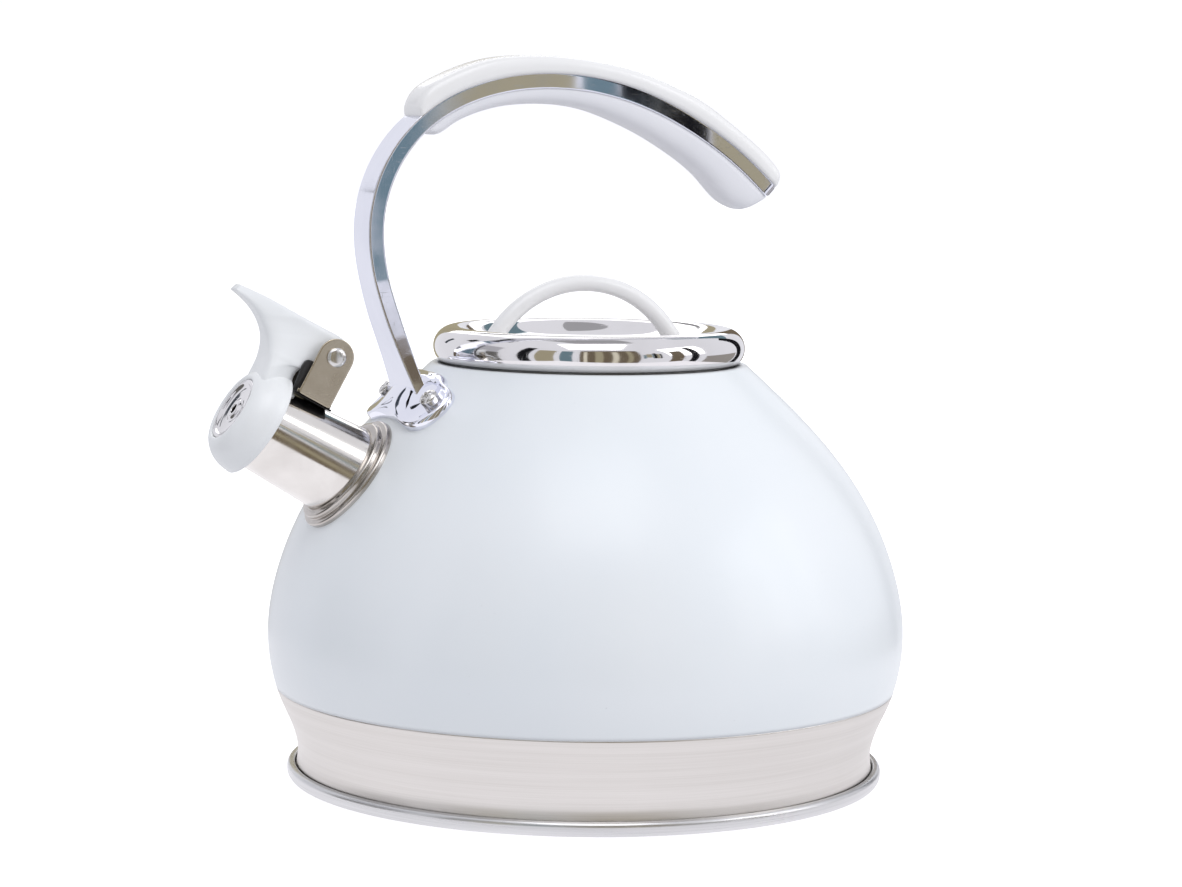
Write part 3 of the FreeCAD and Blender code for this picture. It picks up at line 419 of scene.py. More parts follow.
BAND_STEEL = brushed("brushed_band_steel", (0.74, 0.715, 0.69), (0.65, 0.625, 0.595), 0.31, 0.000004,
                     lines=2600.0, anisotropic=0.6)
RIM_STEEL = brushed("brushed_rim_steel", (0.74, 0.74, 0.745), (0.56, 0.56, 0.565), 0.27, 0.000007)
INNER_STEEL = brushed("satin_inner_steel", (0.62, 0.615, 0.605), (0.48, 0.475, 0.465), 0.38, 0.00001)
SHEET_STEEL = polished("bracket_sheet_steel", (0.60, 0.54, 0.44), (0.46, 0.40, 0.32), 0.22, 90.0)
LID_STEEL = polished("polished_lid_steel", (0.80, 0.785, 0.79), (0.70, 0.685, 0.685), 0.035)
SPOUT_STEEL = polished("polished_spout_steel", (0.80, 0.775, 0.745), (0.66, 0.63, 0.60), 0.09, 60.0)
COLLAR_STEEL = polished("spun_collar_steel", (0.54, 0.51, 0.48), (0.42, 0.39, 0.36), 0.17, 80.0)
CHROME = polished("handle_chrome", (0.84, 0.85, 0.93), (0.76, 0.77, 0.86), 0.03, 55.0, 0.6)
RIVET = polished("rivet_steel", (0.74, 0.73, 0.72), (0.6, 0.59, 0.58), 0.16, 120.0)
WIRE_STEEL = polished("spring_wire_steel", (0.36, 0.35, 0.34), (0.22, 0.21, 0.2), 0.22, 200.0)
ALUMINIUM = polished("plain_aluminium", (0.72, 0.72, 0.73), (0.6, 0.6, 0.61), 0.35, 60.0)

# %% [markdown]
# ## The enamelled shoulder
# The round upper body is one spun sheet, with a hole where the spout goes in. A spun
# sheet is a single surface: its profile is turned about the axis and Solidify gives it
# the sheet's thickness inwards. The hole is made in the grid itself. Points that fall
# inside it are pushed out to its circle and the faces between them are left out, which
# is cleaner than a Boolean because the rest of the grid keeps its even rows.

# %% Shoulder profile and the surface under everything
SHOULDER = [(107.1, 32.0), (109.8, 50.0), (106.4, 72.0), (96.2, 96.0), (78.2, 120.0), (54.7, 142.7)]
shoulder = spline_through(SHOULDER, 600, (1.3, 4.4), (-1.0, 0.92))
shoulder_slope = np.gradient(shoulder, axis=0)
shoulder_slope /= np.linalg.norm(shoulder_slope, axis=1, keepdims=True)


def on_shoulder(side, height, lift):
    """The point at (y, z) of the shoulder's spout side, lifted square to the sheet."""
    radius = np.interp(height, shoulder[:, 1], shoulder[:, 0])
    out = np.interp(height, shoulder[:, 1], shoulder_slope[:, 1])
    up = -np.interp(height, shoulder[:, 1], shoulder_slope[:, 0])
    swing = np.arcsin(side / radius)
    reach = radius + lift * out
    return np.stack([-reach * np.cos(swing), reach * np.sin(swing), height + lift * up], -1)


SPOUT_TILT = math.radians(28.8)
SPOUT_AT = np.array((-90.7, 0.0, 109.3))
SPOUT_ALONG = np.array((-math.cos(SPOUT_TILT), 0.0, math.sin(SPOUT_TILT)))
SPOUT_UP = np.array((math.sin(SPOUT_TILT), 0.0, math.cos(SPOUT_TILT)))
POUR_HOLE = 13.0


def with_pour_hole(points, faces):
    """Moves points inside the hole out to its circle and drops the faces inside it."""
    away = points - SPOUT_AT
    along = away @ SPOUT_ALONG
    square = away - along[:, None] * SPOUT_ALONG
    radius = np.linalg.norm(square, axis=1)
    inside = (radius < POUR_HOLE) & (np.abs(along) < 25)
    points[inside] += (square * (POUR_HOLE / np.maximum(radius, 1e-6) - 1)[:, None])[inside]
    return points, faces[~inside[faces].all(1)]


neck = [(54.4, 142.93), (54.05, 143.09), (53.6, 143.19), (53.2, 143.2), (51.3, 143.2)]
skin = turned(np.concatenate([shoulder[::7], shoulder[-1:], neck]), 288)
make_piece("enamel_shoulder", "kettle", ENAMEL, [with_pour_hole(*shell(skin, False))],
           "upper_shell", sheet=0.7)

# %% [markdown]
# ## The brushed band and the foot
# Below the seam the steel is bare. The band is another single sheet that narrows to a
# waist. Under it the foot is a pressed pan with a low rolled rim, and the small gap
# between the rim and the band reads as a dark line round the kettle. The rim is drawn as
# a polygon with a radius at each corner, like a pressing's drawing, and turned.

# %% Band and foot
BAND = [(99.8, 4.3), (99.3, 9.0), (99.9, 13.5), (102.3, 20.5), (105.6, 27.8), (107.1, 32.0)]
band_profile = spline_through(BAND, 40, (-0.6, 4.0), (1.3, 4.4))
make_piece("brushed_band", "kettle", BAND_STEEL, [shell(turned(band_profile, 288), False)],
           "lower_shell", sheet=0.7, inside=(0, 0, 20))

FOOT = [(0, 0.9, 0), (96.1, 0.9, 0.6), (97.3, 0, 0.5), (101.9, 0, 0.8), (103.0, 1.5, 0.9), (103.0, 3.9, 0.7),
        (102.2, 4.9, 0.7), (100.5, 5.0, 0.5), (100.05, 4.2, 0.2), (99.9, 3.4, 0.1), (98.9, 3.4, 0.1),
        (98.9, 1.0, 0.2), (97.6, 0.7, 0.4), (96.4, 1.6, 0.4), (0, 1.6, 0)]
make_piece("foot_pan", "kettle", RIM_STEEL, [shell(turned(rounded(FOOT), 288))],
           "base_pan")

# %% [markdown]
# ## The lid
# The lid is one polished sheet: a fat rolled rim outside, turned down into a dish. A
# mirror shows every facet, so the rim's arc gets many points and a spline runs from it
# to the flat middle as a shallow cone. The closed outline holds both faces of the sheet.

# %% Lid cover
BEAD, BEAD_SECTION = (46.7, 148.7), 6.9
rim_out = arc(BEAD, BEAD_SECTION, -41, 122, 50)
dish = spline_through([rim_out[-1], (36.0, 150.0), (30.0, 148.2), (20.0, 146.9), (9.0, 146.4)], 40,
                      (-1.0, -0.62), (-1.0, 0.0))
plate = np.array([(8.0, 146.4), (0.0, 146.4), (0.0, 145.6), (10.0, 145.6), (30.0, 146.6), (38.0, 148.2)])
rim_in = arc(BEAD, BEAD_SECTION - 0.8, 150, -39, 44)
hem = np.array([(51.5, 143.9), (51.62, 143.72), (51.7, 143.66)])
lid_outline = np.concatenate([rim_out, dish[1:], plate, rim_in, hem])
make_piece("lid_cover_skin", "lid", LID_STEEL, [shell(turned(lid_outline, 240))],
           "lid_cover")

# %% [markdown]
# ## The bow on the lid
# The lid's handle is a round white rod bent to an arc, on two small chromed posts. A
# tube is a circle carried along a line: at each station two directions square to the
# line hold the circle. A curve with a round bevel would do as well; a grid keeps the
# ends under control, and its rounded tips close in one point each.


# %% Tubes, bow and posts
def tube(line, radius, beside, tip=0.0, around=40):
    """A circle carried along a line in 3-D; tip rounds its two ends."""
    line = np.asarray(line, float)
    ahead = np.gradient(line, axis=0)
    ahead /= np.linalg.norm(ahead, axis=1, keepdims=True)
    if tip:
        q = np.linspace(0, math.pi / 2, 7)[:-1]
        first = line[0] - ahead[0] * (tip * np.cos(q))[:, None]
        last = line[-1] + ahead[-1] * (tip * np.cos(q[::-1]))[:, None]
        radius = np.broadcast_to(radius, (len(line),))
        radius = np.concatenate([radius[0] * np.sin(q), radius, radius[-1] * np.sin(q[::-1])])
        line = np.concatenate([first, line, last])
        ahead = np.concatenate([np.repeat(ahead[:1], 6, 0), ahead, np.repeat(ahead[-1:], 6, 0)])
    side = np.cross(ahead, beside)
    side /= np.linalg.norm(side, axis=1, keepdims=True)
    square = np.cross(ahead, side)
    a = np.linspace(0, TURN, around, endpoint=False)[None, :, None]
    radius = np.broadcast_to(radius, (len(line),))[:, None, None]
    return with_ends(line[:, None] + radius * (np.cos(a) * side[:, None] + np.sin(a) * square[:, None]))


BOW_SHIFT, BOW_TOP, BOW_ARC, BOW_HALF, BOW_ANGLE = -2.3, 170.6, 38.6, 33.6, 56.0
bow_arc = arc((BOW_SHIFT, BOW_TOP - BOW_ARC), BOW_ARC, 90 + BOW_ANGLE, 90 - BOW_ANGLE, 60)
drop = (BOW_HALF - BOW_ARC * math.sin(math.radians(BOW_ANGLE))) * math.tan(math.radians(BOW_ANGLE))
feet = [(BOW_SHIFT + sign * BOW_HALF, bow_arc[0, 1] - drop) for sign in (-1, 1)]
legs = [np.linspace(feet[0], bow_arc[0], 14)[:-1], np.linspace(bow_arc[-1], feet[1], 14)[1:]]
bow_line = np.concatenate([legs[0], bow_arc, legs[1]])
bow_line = np.stack([bow_line[:, 0], 0 * bow_line[:, 0], bow_line[:, 1]], 1)
bow_thick = 2.85 + 0.45 * np.abs(np.linspace(-1, 1, len(bow_line))) ** 2.2
make_piece("lid_bow_rod", "lid", WHITE_GLOSS,
           [shell(tube(bow_line, bow_thick, (0, 1, 0), tip=0.7, around=56), False)], "lid_bow")

posts = []
for (x, z), sign in zip(feet, (-1, 1)):
    base, lean = np.array((x + sign * 1.6, 0, 146.4)), np.array((-sign * 1.6, 0, z - 146.4))
    tall = np.linalg.norm(lean)
    post = rounded([(0, 0, 0), (3.5, 0, 0.1), (3.4, 0.9, 0.4), (2.75, 1.5, 0.5), (2.4, tall, 0.3),
                    (0, tall, 0)])
    posts.append(shell(placed(turned(post, 56), base, lean)))
make_piece("bow_posts", "lid", CHROME, posts, "bow_ferrules")

# %% [markdown]
# ## The spout
# The tube enters a round, sloping shoulder, so its root is not a flat circle. For each
# angle round the tube the script looks for the place where a line along the spout meets
# the shoulder, by halving an interval forty times for the whole array at once. The
# collar's two stepped beads ride on that same line, so they hug the body.


# %% Where the spout meets the shoulder, and the tube
def shoulder_hit(radius, angle):
    """Distance along the spout at which a line beside its axis meets the shoulder."""
    start = (SPOUT_AT + (radius * np.cos(angle))[..., None] * SPOUT_UP
             + (radius * np.sin(angle))[..., None] * np.array((0.0, 1.0, 0.0)))
    low, high = np.full(start.shape[:-1], -26.0), np.full(start.shape[:-1], 22.0)
    for _ in range(40):
        middle = (low + high) / 2
        p = start + middle[..., None] * SPOUT_ALONG
        outside = np.hypot(p[..., 0], p[..., 1]) > np.interp(p[..., 2], shoulder[:, 1], shoulder[:, 0])
        low, high = np.where(outside, low, middle), np.where(outside, middle, high)
    return low


def on_spout(radius, angle, along):
    """Point at a radius, angle and distance in the spout's own directions."""
    return (SPOUT_AT + along[..., None] * SPOUT_ALONG + (radius * np.cos(angle))[..., None] * SPOUT_UP
            + (radius * np.sin(angle))[..., None] * np.array((0.0, 1.0, 0.0)))


around_spout = np.linspace(0, TURN, 160, endpoint=False)[None]
mouth = 33.6 - math.tan(math.radians(3.8)) * 14.1 * np.cos(around_spout)
root = shoulder_hit(16.0 + 0 * around_spout, around_spout) - 1.2
share = np.linspace(0, 1, 40)[:, None]
run = root + (mouth - root) * share
make_piece("spout_barrel", "kettle", SPOUT_STEEL,
           [shell(on_spout(16.0 - 1.9 * run / 33.6, around_spout + 0 * run, run), False)],
           "spout_tube", sheet=0.8, inside=SPOUT_AT + 15 * SPOUT_ALONG)

COLLAR = [(15.9, 3.4, 0.15), (16.5, 3.95, 0.35), (18.9, 3.85, 1.2), (18.95, 2.0, 0.25),
          (21.05, 1.95, 1.0), (21.0, -0.4, 0.2), (15.9, -0.4, 0.1)]
collar_outline = rounded(COLLAR, 8)
ring_radius = collar_outline[:, :1] + 0 * around_spout
ring_angle = around_spout + 0 * ring_radius
ring_along = shoulder_hit(ring_radius, ring_angle) + collar_outline[:, 1:]
make_piece("spout_collar_beads", "kettle", COLLAR_STEEL,
           [shell(on_spout(ring_radius, ring_angle, ring_along))], "spout_collar")

# %% [markdown]
# ## The hinge bracket
# A U of sheet steel stands on the tube and carries the whistle cap on a riveted pin. Its
# ears are flat plates with a round top, so each is a slab: an outline, drawn in a little
# at both faces to give a small bevel that catches the light. A wire spring sits between
# each ear and the cap. A thin black pad lies under it, its black partly painted shade, and
# a black plate of painted shade stands before each ear.


# %% Slabs and the bracket
def slab(outline, low, high, bevel):
    """A plate: the outline drawn in by the bevel at both faces, closed at its middle."""
    edge = np.roll(outline, -1, 0) - np.roll(outline, 1, 0)
    inwards = np.stack([-edge[:, 1], edge[:, 0]], 1)
    inwards /= np.linalg.norm(inwards, axis=1, keepdims=True)
    spin = np.sign(np.sum(outline[:, 0] * np.roll(outline[:, 1], -1)
                          - outline[:, 1] * np.roll(outline[:, 0], -1)))
    steps = [(None, low), (2.5 * bevel, low), (bevel, low), (0.3 * bevel, low + 0.3 * bevel),
             (0, low + bevel), (0, low + 1.6 * bevel)]
    steps += [(step, low + high - z) for step, z in reversed(steps)]
    rows = [np.column_stack([outline.mean(0) + 0 * outline if step is None
                             else outline + inwards * step * spin, np.full(len(outline), z)])
            for step, z in steps]
    return np.stack(rows)


def bracket_plate(outline, low, high, bevel=0.22):
    """A slab whose outline is (up, along) in the spout's directions and whose depth is Y."""
    grid = slab(outline, low, high, bevel)
    return (SPOUT_AT + grid[..., :1] * SPOUT_UP + grid[..., 1:2] * SPOUT_ALONG
            + grid[..., 2:] * np.array((0.0, 1.0, 0.0)))


PIN_UP, PIN_ALONG, EAR_RADIUS, EAR_IN, EAR_OUT = 31.4, 22.0, 6.2, 8.3, 9.5
ear_top = arc((PIN_UP, PIN_ALONG), EAR_RADIUS, -90, 90, 40)
ear = np.concatenate([ear_top, np.linspace((30.0, 28.2), (17.0, 28.2), 8),
                      arc((16.4, 27.2), 1.0, 90, 180, 7), arc((16.4, 16.8), 1.0, 180, 270, 7),
                      np.linspace((17.0, 15.8), (30.0, 15.8), 8)])
strap = rounded([(15.5, 15.4, 0.3), (16.7, 15.4, 0.3), (16.7, 28.6, 0.3), (15.5, 28.6, 0.3)], 5)
plates = [shell(bracket_plate(ear, *sorted((side * EAR_IN, side * EAR_OUT))), False) for side in (-1, 1)]
plates.append(shell(bracket_plate(strap, -8.6, 8.6), False))
make_piece("hinge_bracket_sheet", "kettle", SHEET_STEEL, plates, "hinge_bracket")

# The black strip under the strap is the real pad, and its black also paints the shade beneath the bracket.
strip_under = rounded([(14.8, 14.9, 0.2), (15.45, 14.9, 0.2), (15.45, 29.6, 0.2), (14.8, 29.6, 0.2)], 6)
# These black plates, one before each ear, are painted shade: they stand where the ears and the cap only cast
# shade.
shade_cheek = rounded([(15.4, 25.0, 0.4), (15.4, 29.7, 0.5), (19.6, 30.2, 0.6), (24.0, 30.7, 0.8),
                 (26.4, 30.1, 1.0), (26.9, 27.8, 1.0), (24.0, 25.0, 0.6)], 6)
black = [shell(bracket_plate(strip_under, -9.2, 9.2, 0.2), False)]
black += [shell(bracket_plate(shade_cheek, *sorted((side * 6.4, side * 8.0)), 0.3), False) for side in (-1, 1)]
make_piece("bracket_pad_and_shade_plates", "kettle", PAD_AND_SHADE_BLACK, black, "bracket_pad")

# %% Pin and springs
PIN_AT = SPOUT_AT + PIN_UP * SPOUT_UP + PIN_ALONG * SPOUT_ALONG
dome = spline_through([(3.4, 0.0), (3.35, 0.45), (2.6, 1.15), (1.3, 1.45), (0.0, 1.5)], 16, (0, 1), (-1, 0))
pin_outline = np.concatenate([[(1.5, -9.4), (3.3, -9.5)], dome * (1, -1) - (0, 9.5), dome[::-1] + (0, 9.5),
                              [(3.3, 9.5), (1.5, 9.4)]])
make_piece("hinge_rivet", "kettle", RIVET,
           [shell(placed(turned(pin_outline, 64), PIN_AT, (0, 1, 0)))], "hinge_pin")

wires = []
for side in (-1, 1):
    a = np.linspace(0, TURN * 2.6, 110)
    coil = PIN_AT + np.stack([3.1 * np.cos(a), side * (6.35 + 1.55 * a / a[-1]), 3.1 * np.sin(a)], 1)
    down = coil[-1] + np.array((-0.55, 0.0, -0.83)) * np.linspace(0.3, 9.0, 16)[:, None]
    wires.append(shell(tube(coil, 0.42, (0, 1, 0), around=12), False))
    wires.append(shell(tube(down, 0.42, (0, 1, 0), tip=0.3, around=12), False))
make_piece("cap_springs", "kettle", WIRE_STEEL, wires, "hinge_springs")

# %% [markdown]
# ## The whistle cap
# The cap is one white moulding: a bell over the spout's mouth and a thumb lever that
# rises from it and reaches back to the pin. The bell is turned. The lever is a loft: two
# lines run up its front and its back, and between them each section is a
# superellipse, `|x|^n + |y|^n = 1`, wide in front and narrow at the boss. Subdivision
# modelling could do it, but two lines and a width are easier to fit.

# %% Bell and thumb lever
CAP_TILT = math.radians(32.6)
CAP_AT = np.array((-118.6, 0.0, 125.0))
CAP_ALONG = np.array((-math.cos(CAP_TILT), 0.0, math.sin(CAP_TILT)))
bell_out = np.concatenate([
    [(16.8, -0.25), (17.9, -0.3), (18.35, -0.25), (18.55, 0.0), (18.6, 0.3), (18.5, 0.62), (18.38, 0.8),
     (18.4, 1.0)],
    spline_through([(18.42, 1.3), (18.1, 4.0), (17.0, 6.9), (15.2, 9.3), (13.2, 10.8)], 40, (0, 1),
                   (-1, 0.42)),
    spline_through([(12.9, 10.95), (12.2, 11.15), (11.5, 10.95), (11.15, 10.3)], 14)])
bell_in = np.array([(11.15, 8.7), (10.9, 8.55), (9.2, 8.5), (9.2, 7.4), (12.6, 7.2), (15.6, 4.8), (16.7, 2.0),
                    (16.75, 0.2)])
bell = placed(turned(np.concatenate([bell_out, bell_in]), 144), CAP_AT, CAP_ALONG)

FRONT = [(-119.0, 134.5), (-120.6, 139.5), (-118.7, 144.6), (-117.5, 148.6), (-117.15, 151.8),
         (-117.3, 154.6), (-118.4, 158.4), (-121.2, 163.4), (-125.2, 167.6), (-127.6, 169.6)]
BACK = [(-107.5, 134.5), (-107.9, 140.4), (-103.2, 144.2), (-96.6, 140.5), (-88.6, 144.0),
        (-88.6, 151.0), (-95.2, 156.0), (-106.5, 162.0), (-118.0, 168.2), (-125.6, 171.6)]
front = spline_through(FRONT, 400)
back = spline_through(BACK, 400)


def matched(line, stations, count):
    """Points on a line at even steps between its stations, so two lines stay in step."""
    marks = np.array([np.argmin(np.linalg.norm(line - s, axis=1)) for s in np.array(stations)], float)
    where = np.interp(np.linspace(0, len(stations) - 1, count), np.arange(len(stations)), marks)
    return np.stack([np.interp(where, np.arange(len(line)), line[:, k]) for k in (0, 1)], 1)


front, back = matched(front, FRONT, 90), matched(back, BACK, 90)
angle = np.linspace(0, TURN, 96, endpoint=False)[None]
across = np.sign(np.cos(angle)) * np.abs(np.cos(angle)) ** 0.42
sideways = np.sign(np.sin(angle)) * np.abs(np.sin(angle)) ** 0.42
share = (1 - across) / 2
half_front = np.interp(front[:, 1], [134, 145, 150, 156, 160, 166, 171],
                       [11.5, 10.0, 8.6, 6.2, 5.0, 4.0, 3.2])
half_back = np.interp(back[:, 1], [134, 141, 160, 171], [7.0, 5.5, 5.3, 2.6])
half = half_front[:, None] * (1 - share) ** 1.5 + half_back[:, None] * (1 - (1 - share) ** 1.5)
fin = np.stack([front[:, :1] * (1 - share) + back[:, :1] * share, half * sideways,
                front[:, 1:] * (1 - share) + back[:, 1:] * share], -1)
make_piece("whistle_cap", "cap", CAP_WHITE, [shell(bell), shell(with_ends(fin), False)],
           "cap_shell")

# %% [markdown]
# ## The whistle disc
# Steam blows through a small hole in a pressed steel disc set in the cap. The disc has a
# raised rim and a small raised ring round the hole, with a dished track between them
# that collects dark reflections. It is a closed outline, turned on the cap's own axis.

# %% Whistle disc
DISC = [(1.7, 8.8, 0.1), (1.7, 10.35, 0.35), (3.1, 10.35, 0.45), (4.3, 9.45, 1.2), (8.9, 9.7, 1.2),
        (9.9, 10.8, 0.5), (11.05, 10.7, 0.45), (11.05, 8.8, 0.2)]
make_piece("whistle_plate", "cap", LID_STEEL,
           [shell(placed(turned(rounded(DISC), 112), CAP_AT, CAP_ALONG))], "whistle_disc")

# %% [markdown]
# ## The handle strip
# A chromed strip springs from the saddle, bends over the lid and ends above its far
# side. It is a rounded rectangle carried along a line in the middle plane. Its width
# grows towards the foot while its corners keep their radius, so the section is shifted
# outwards instead of scaled.

# %% Strip line and strip
STRIP = [(-64.6, 131.6), (-71.2, 150.0), (-78.9, 174.4), (-80.2, 193.8), (-73.7, 213.0), (-60.6, 227.2),
         (-42.2, 236.0), (-15.6, 239.3), (11.6, 235.0), (33.9, 225.4), (56.6, 209.9), (65.6, 201.6)]
strip_line = spline_through(STRIP, 900)
strip_ahead = np.gradient(strip_line, axis=0)
strip_ahead /= np.linalg.norm(strip_ahead, axis=1, keepdims=True)
strip_out = np.stack([-strip_ahead[:, 1], strip_ahead[:, 0]], 1)
strip_run = np.concatenate([[0], np.cumsum(np.linalg.norm(np.diff(strip_line, axis=0), axis=1))])
STRIP_HALF, STRIP_DEEP = 8.0, 2.65


def carried(run, outwards, sideways):
    """Grid of points beside the strip's line: out from it and across it."""
    at = [np.interp(run, strip_run, values)[:, None] for values in
          (strip_line[:, 0], strip_line[:, 1], strip_out[:, 0], strip_out[:, 1])]
    return np.stack([at[0] + outwards * at[2], sideways + 0 * outwards, at[1] + outwards * at[3]], -1)


def eased(run, first, last):
    """Size from 0 to 1 that rounds off the two ends of a run over given lengths."""
    grow = [np.clip(d / e, 0, 1) for d, e in ((run - run[0], first), (run[-1] - run, last))]
    return np.sqrt(1 - (1 - grow[0]) ** 2) * np.sqrt(1 - (1 - grow[1]) ** 2)


def stations(first, last, count, tip):
    """Distances along the line, crowded at the two ends so that tips are round."""
    crowd = tip * (1 - np.cos(np.linspace(0, math.pi / 2, 9)))
    between = np.linspace(first + tip, last - tip, count)[1:-1]
    return np.concatenate([first + crowd, between, last - crowd[::-1]])


section = rounded([(-STRIP_HALF, -STRIP_DEEP, 0.35), (STRIP_HALF, -STRIP_DEEP, 0.35),
                   (STRIP_HALF, STRIP_DEEP, 0.5), (-STRIP_HALF, STRIP_DEEP, 0.5)], 7, 0.3)
run = stations(0.0, strip_run[-1], 190, 1.8)
height_there = np.interp(run, strip_run, strip_line[:, 1])
early = run < 60
wide = np.where(early, np.interp(height_there, [131, 134, 140, 146, 154, 162, 172],
                                 [14.2, 13.1, 11.4, 10.2, 9.3, 8.7, 8.0]), STRIP_HALF)
thin = np.where(early, np.interp(height_there, [131, 140, 160], [0.74, 0.8, 1.0]), 1.0)
size = eased(run, 0.01, 1.8)
out = section[None, :, 1] * (thin * size)[:, None]
side = (section[None, :, 0] + np.sign(section[None, :, 0]) * (wide - STRIP_HALF)[:, None]) * (
    0.75 + 0.25 * size)[:, None]
make_piece("handle_strip", "kettle", CHROME, [shell(with_ends(carried(run, out, side)), False)],
           "handle_frame")

# %% [markdown]
# ## The two grips
# A white crowned grip lies on the strip and a softer one under it. Their outlines are
# known from the side, so for each station of the strip the script measures how far the
# outline stands off, square to the strip. The upper section is half a superellipse on a
# flat base; the lower one is fuller. Both ends are rounded off over a millimetre or two.

# %% Upper and lower grip
TOP_EDGE = [(-66.0, 228.3), (-65.6, 231.6), (-64.2, 234.6), (-56.7, 240.1), (-47.3, 244.1), (-38.9, 246.5),
            (-28.2, 247.7), (-17.5, 247.9), (-6.7, 247.1), (4.2, 245.5), (15.3, 242.9), (26.4, 238.8),
            (37.7, 233.9), (49.1, 226.5), (60.6, 217.9), (70.0, 207.7), (72.2, 202.8)]
LOW_EDGE = [(-62.0, 221.3), (-58.8, 220.8), (-53.6, 223.6), (-46.3, 227.3), (-35.8, 230.3), (-25.2, 231.4),
            (-14.4, 231.3), (-3.6, 229.7), (7.3, 226.1), (18.4, 221.2), (29.6, 214.8), (40.9, 206.3),
            (50.1, 197.7), (54.7, 195.8), (62.0, 194.6), (66.6, 196.4), (68.6, 198.6)]


GRIP_REACH, GRIP_SINK = 17.0, 0.2


def stand_off(edge, sign):
    """For each point of the strip's line: distance to the edge, square to the strip."""
    curve = spline_through(edge, 1500)
    away = curve[None] - strip_line[::3, None]
    along = np.einsum("ijk,ik->ij", away, strip_ahead[::3])
    off = sign * np.einsum("ijk,ik->ij", away, strip_out[::3])
    along = np.where((off > 0) & (off < GRIP_REACH), np.abs(along), 1e3)
    best = along.argmin(1)
    rows = np.arange(len(best))
    return strip_run[::3], off[rows, best], along[rows, best] < 0.35


def grip(name, node, finish, edge, sign, half, roundness, ends):
    """A grip on one side of the strip, as tall as its outline says and sunk into it a little."""
    where, off, good = stand_off(edge, sign)
    where, off = where[good], off[good]
    run = stations(where[0], where[-1], 130, 1.6)
    tall = np.interp(run, where, off) - STRIP_DEEP + GRIP_SINK
    size = eased(run, *ends)
    a = np.linspace(0, math.pi, 49)
    crown = np.stack([np.cos(a) * np.abs(np.cos(a)) ** (roundness[0] - 1), np.sin(a) ** roundness[1]], 1)
    base = np.stack([np.linspace(-0.96, 0.96, 13), np.zeros(13)], 1)
    outline = np.concatenate([crown, base])
    out = sign * (STRIP_DEEP - GRIP_SINK + outline[None, :, 1] * (tall * size)[:, None])
    side = outline[None, :, 0] * (half * (0.86 + 0.14 * size))[:, None]
    make_piece(name, "kettle", finish, [shell(with_ends(carried(run, out, side)), False)], node)


grip("grip_upper", "grip_top", WHITE_GLOSS, TOP_EDGE, 1, 8.6, (0.42, 0.55), (1.6, 2.6))
grip("grip_lower", "grip_under", GRIP_SOFT, LOW_EDGE, -1, 7.6, (0.55, 0.6), (2.5, 3.5))

# %% [markdown]
# ## The saddle and its screws
# The strip stands on a chromed casting that wraps over the shoulder. Its outline is a
# butterfly, drawn flat and laid on the shoulder; its thickness follows from the distance
# to the edge. A rolled lip runs round it, a boss rises to the strip and a dish sinks
# round each screw, all of them bell curves added to one height. Each screw is a turned
# pan head with the cross pressed into its top.

# %% Saddle
WING = [(0, 125.8), (9.0, 125.1), (15.0, 124.0), (21.0, 123.6), (25.4, 125.2), (27.0, 129.1), (25.4, 133.6),
        (20.6, 136.3), (16.4, 137.6), (12.4, 139.4), (8.0, 140.2), (0, 140.4)]
half_edge = spline_through(WING, 90, (1, 0), (-1, 0))
edge = np.concatenate([half_edge[:-1], half_edge[:0:-1] * (-1, 1)])
middle = np.array((0.0, 132.4))
share = 1 - (1 - np.linspace(0, 1, 40)[:, None]) ** 1.8
flat = middle + (edge - middle)[None] * share[..., None]
to_edge = (1 - share) * np.linalg.norm(edge - middle, axis=1)[None]
SCREW_SIDE, SCREW_HIGH = 19.6, 131.6
screw_far = np.hypot(np.abs(flat[..., 0]) - SCREW_SIDE, flat[..., 1] - SCREW_HIGH)
SADDLE_THICK, SADDLE_LIP, DISH_DEEP, BOSS_HIGH = 3.2, 2.0, 1.1, 2.2
inner = np.clip(to_edge / 3.0, 0, 1)
boss = np.exp(-((flat[..., 0] / 13.0) ** 4) - ((flat[..., 1] - 134.5) / 5.5) ** 2)
lift = SADDLE_THICK * np.sqrt(1 - (1 - np.clip(to_edge / SADDLE_LIP, 0, 1)) ** 2)
lift -= DISH_DEEP * np.exp(-((screw_far / 6.2) ** 4)) * inner**2 * (3 - 2 * inner)
lift += BOSS_HIGH * boss * np.clip(to_edge / 4.0, 0, 1) ** 2
under = np.stack([flat[-1], middle + 0 * edge])
grid = np.concatenate([on_shoulder(flat[..., 0], flat[..., 1], lift),
                       on_shoulder(under[..., 0], under[..., 1], np.full(under.shape[:2], -0.3))])
make_piece("handle_saddle_casting", "kettle", CHROME, [shell(grid, False)], "handle_saddle")

# %% Screws
SCREW_SWING, SCREW_RISE, SCREW_SEAT = math.asin(20.0 / 68.0), math.radians(44.5), 66.8
HEAD, HEAD_TOP, CROSS_DEEP, CROSS_HALF, CROSS_LONG, CROSS_TURN = 3.1, 5.6, 1.2, 0.42, 1.75, 0.35


def cross_arm(along, beside):
    """1 inside one arm of the cross and 0 outside it, with a soft step at its edges."""
    across = 1 / (1 + np.exp(18 * (np.abs(beside) - CROSS_HALF)))
    return across / (1 + np.exp(14 * (np.abs(along) - CROSS_LONG)))


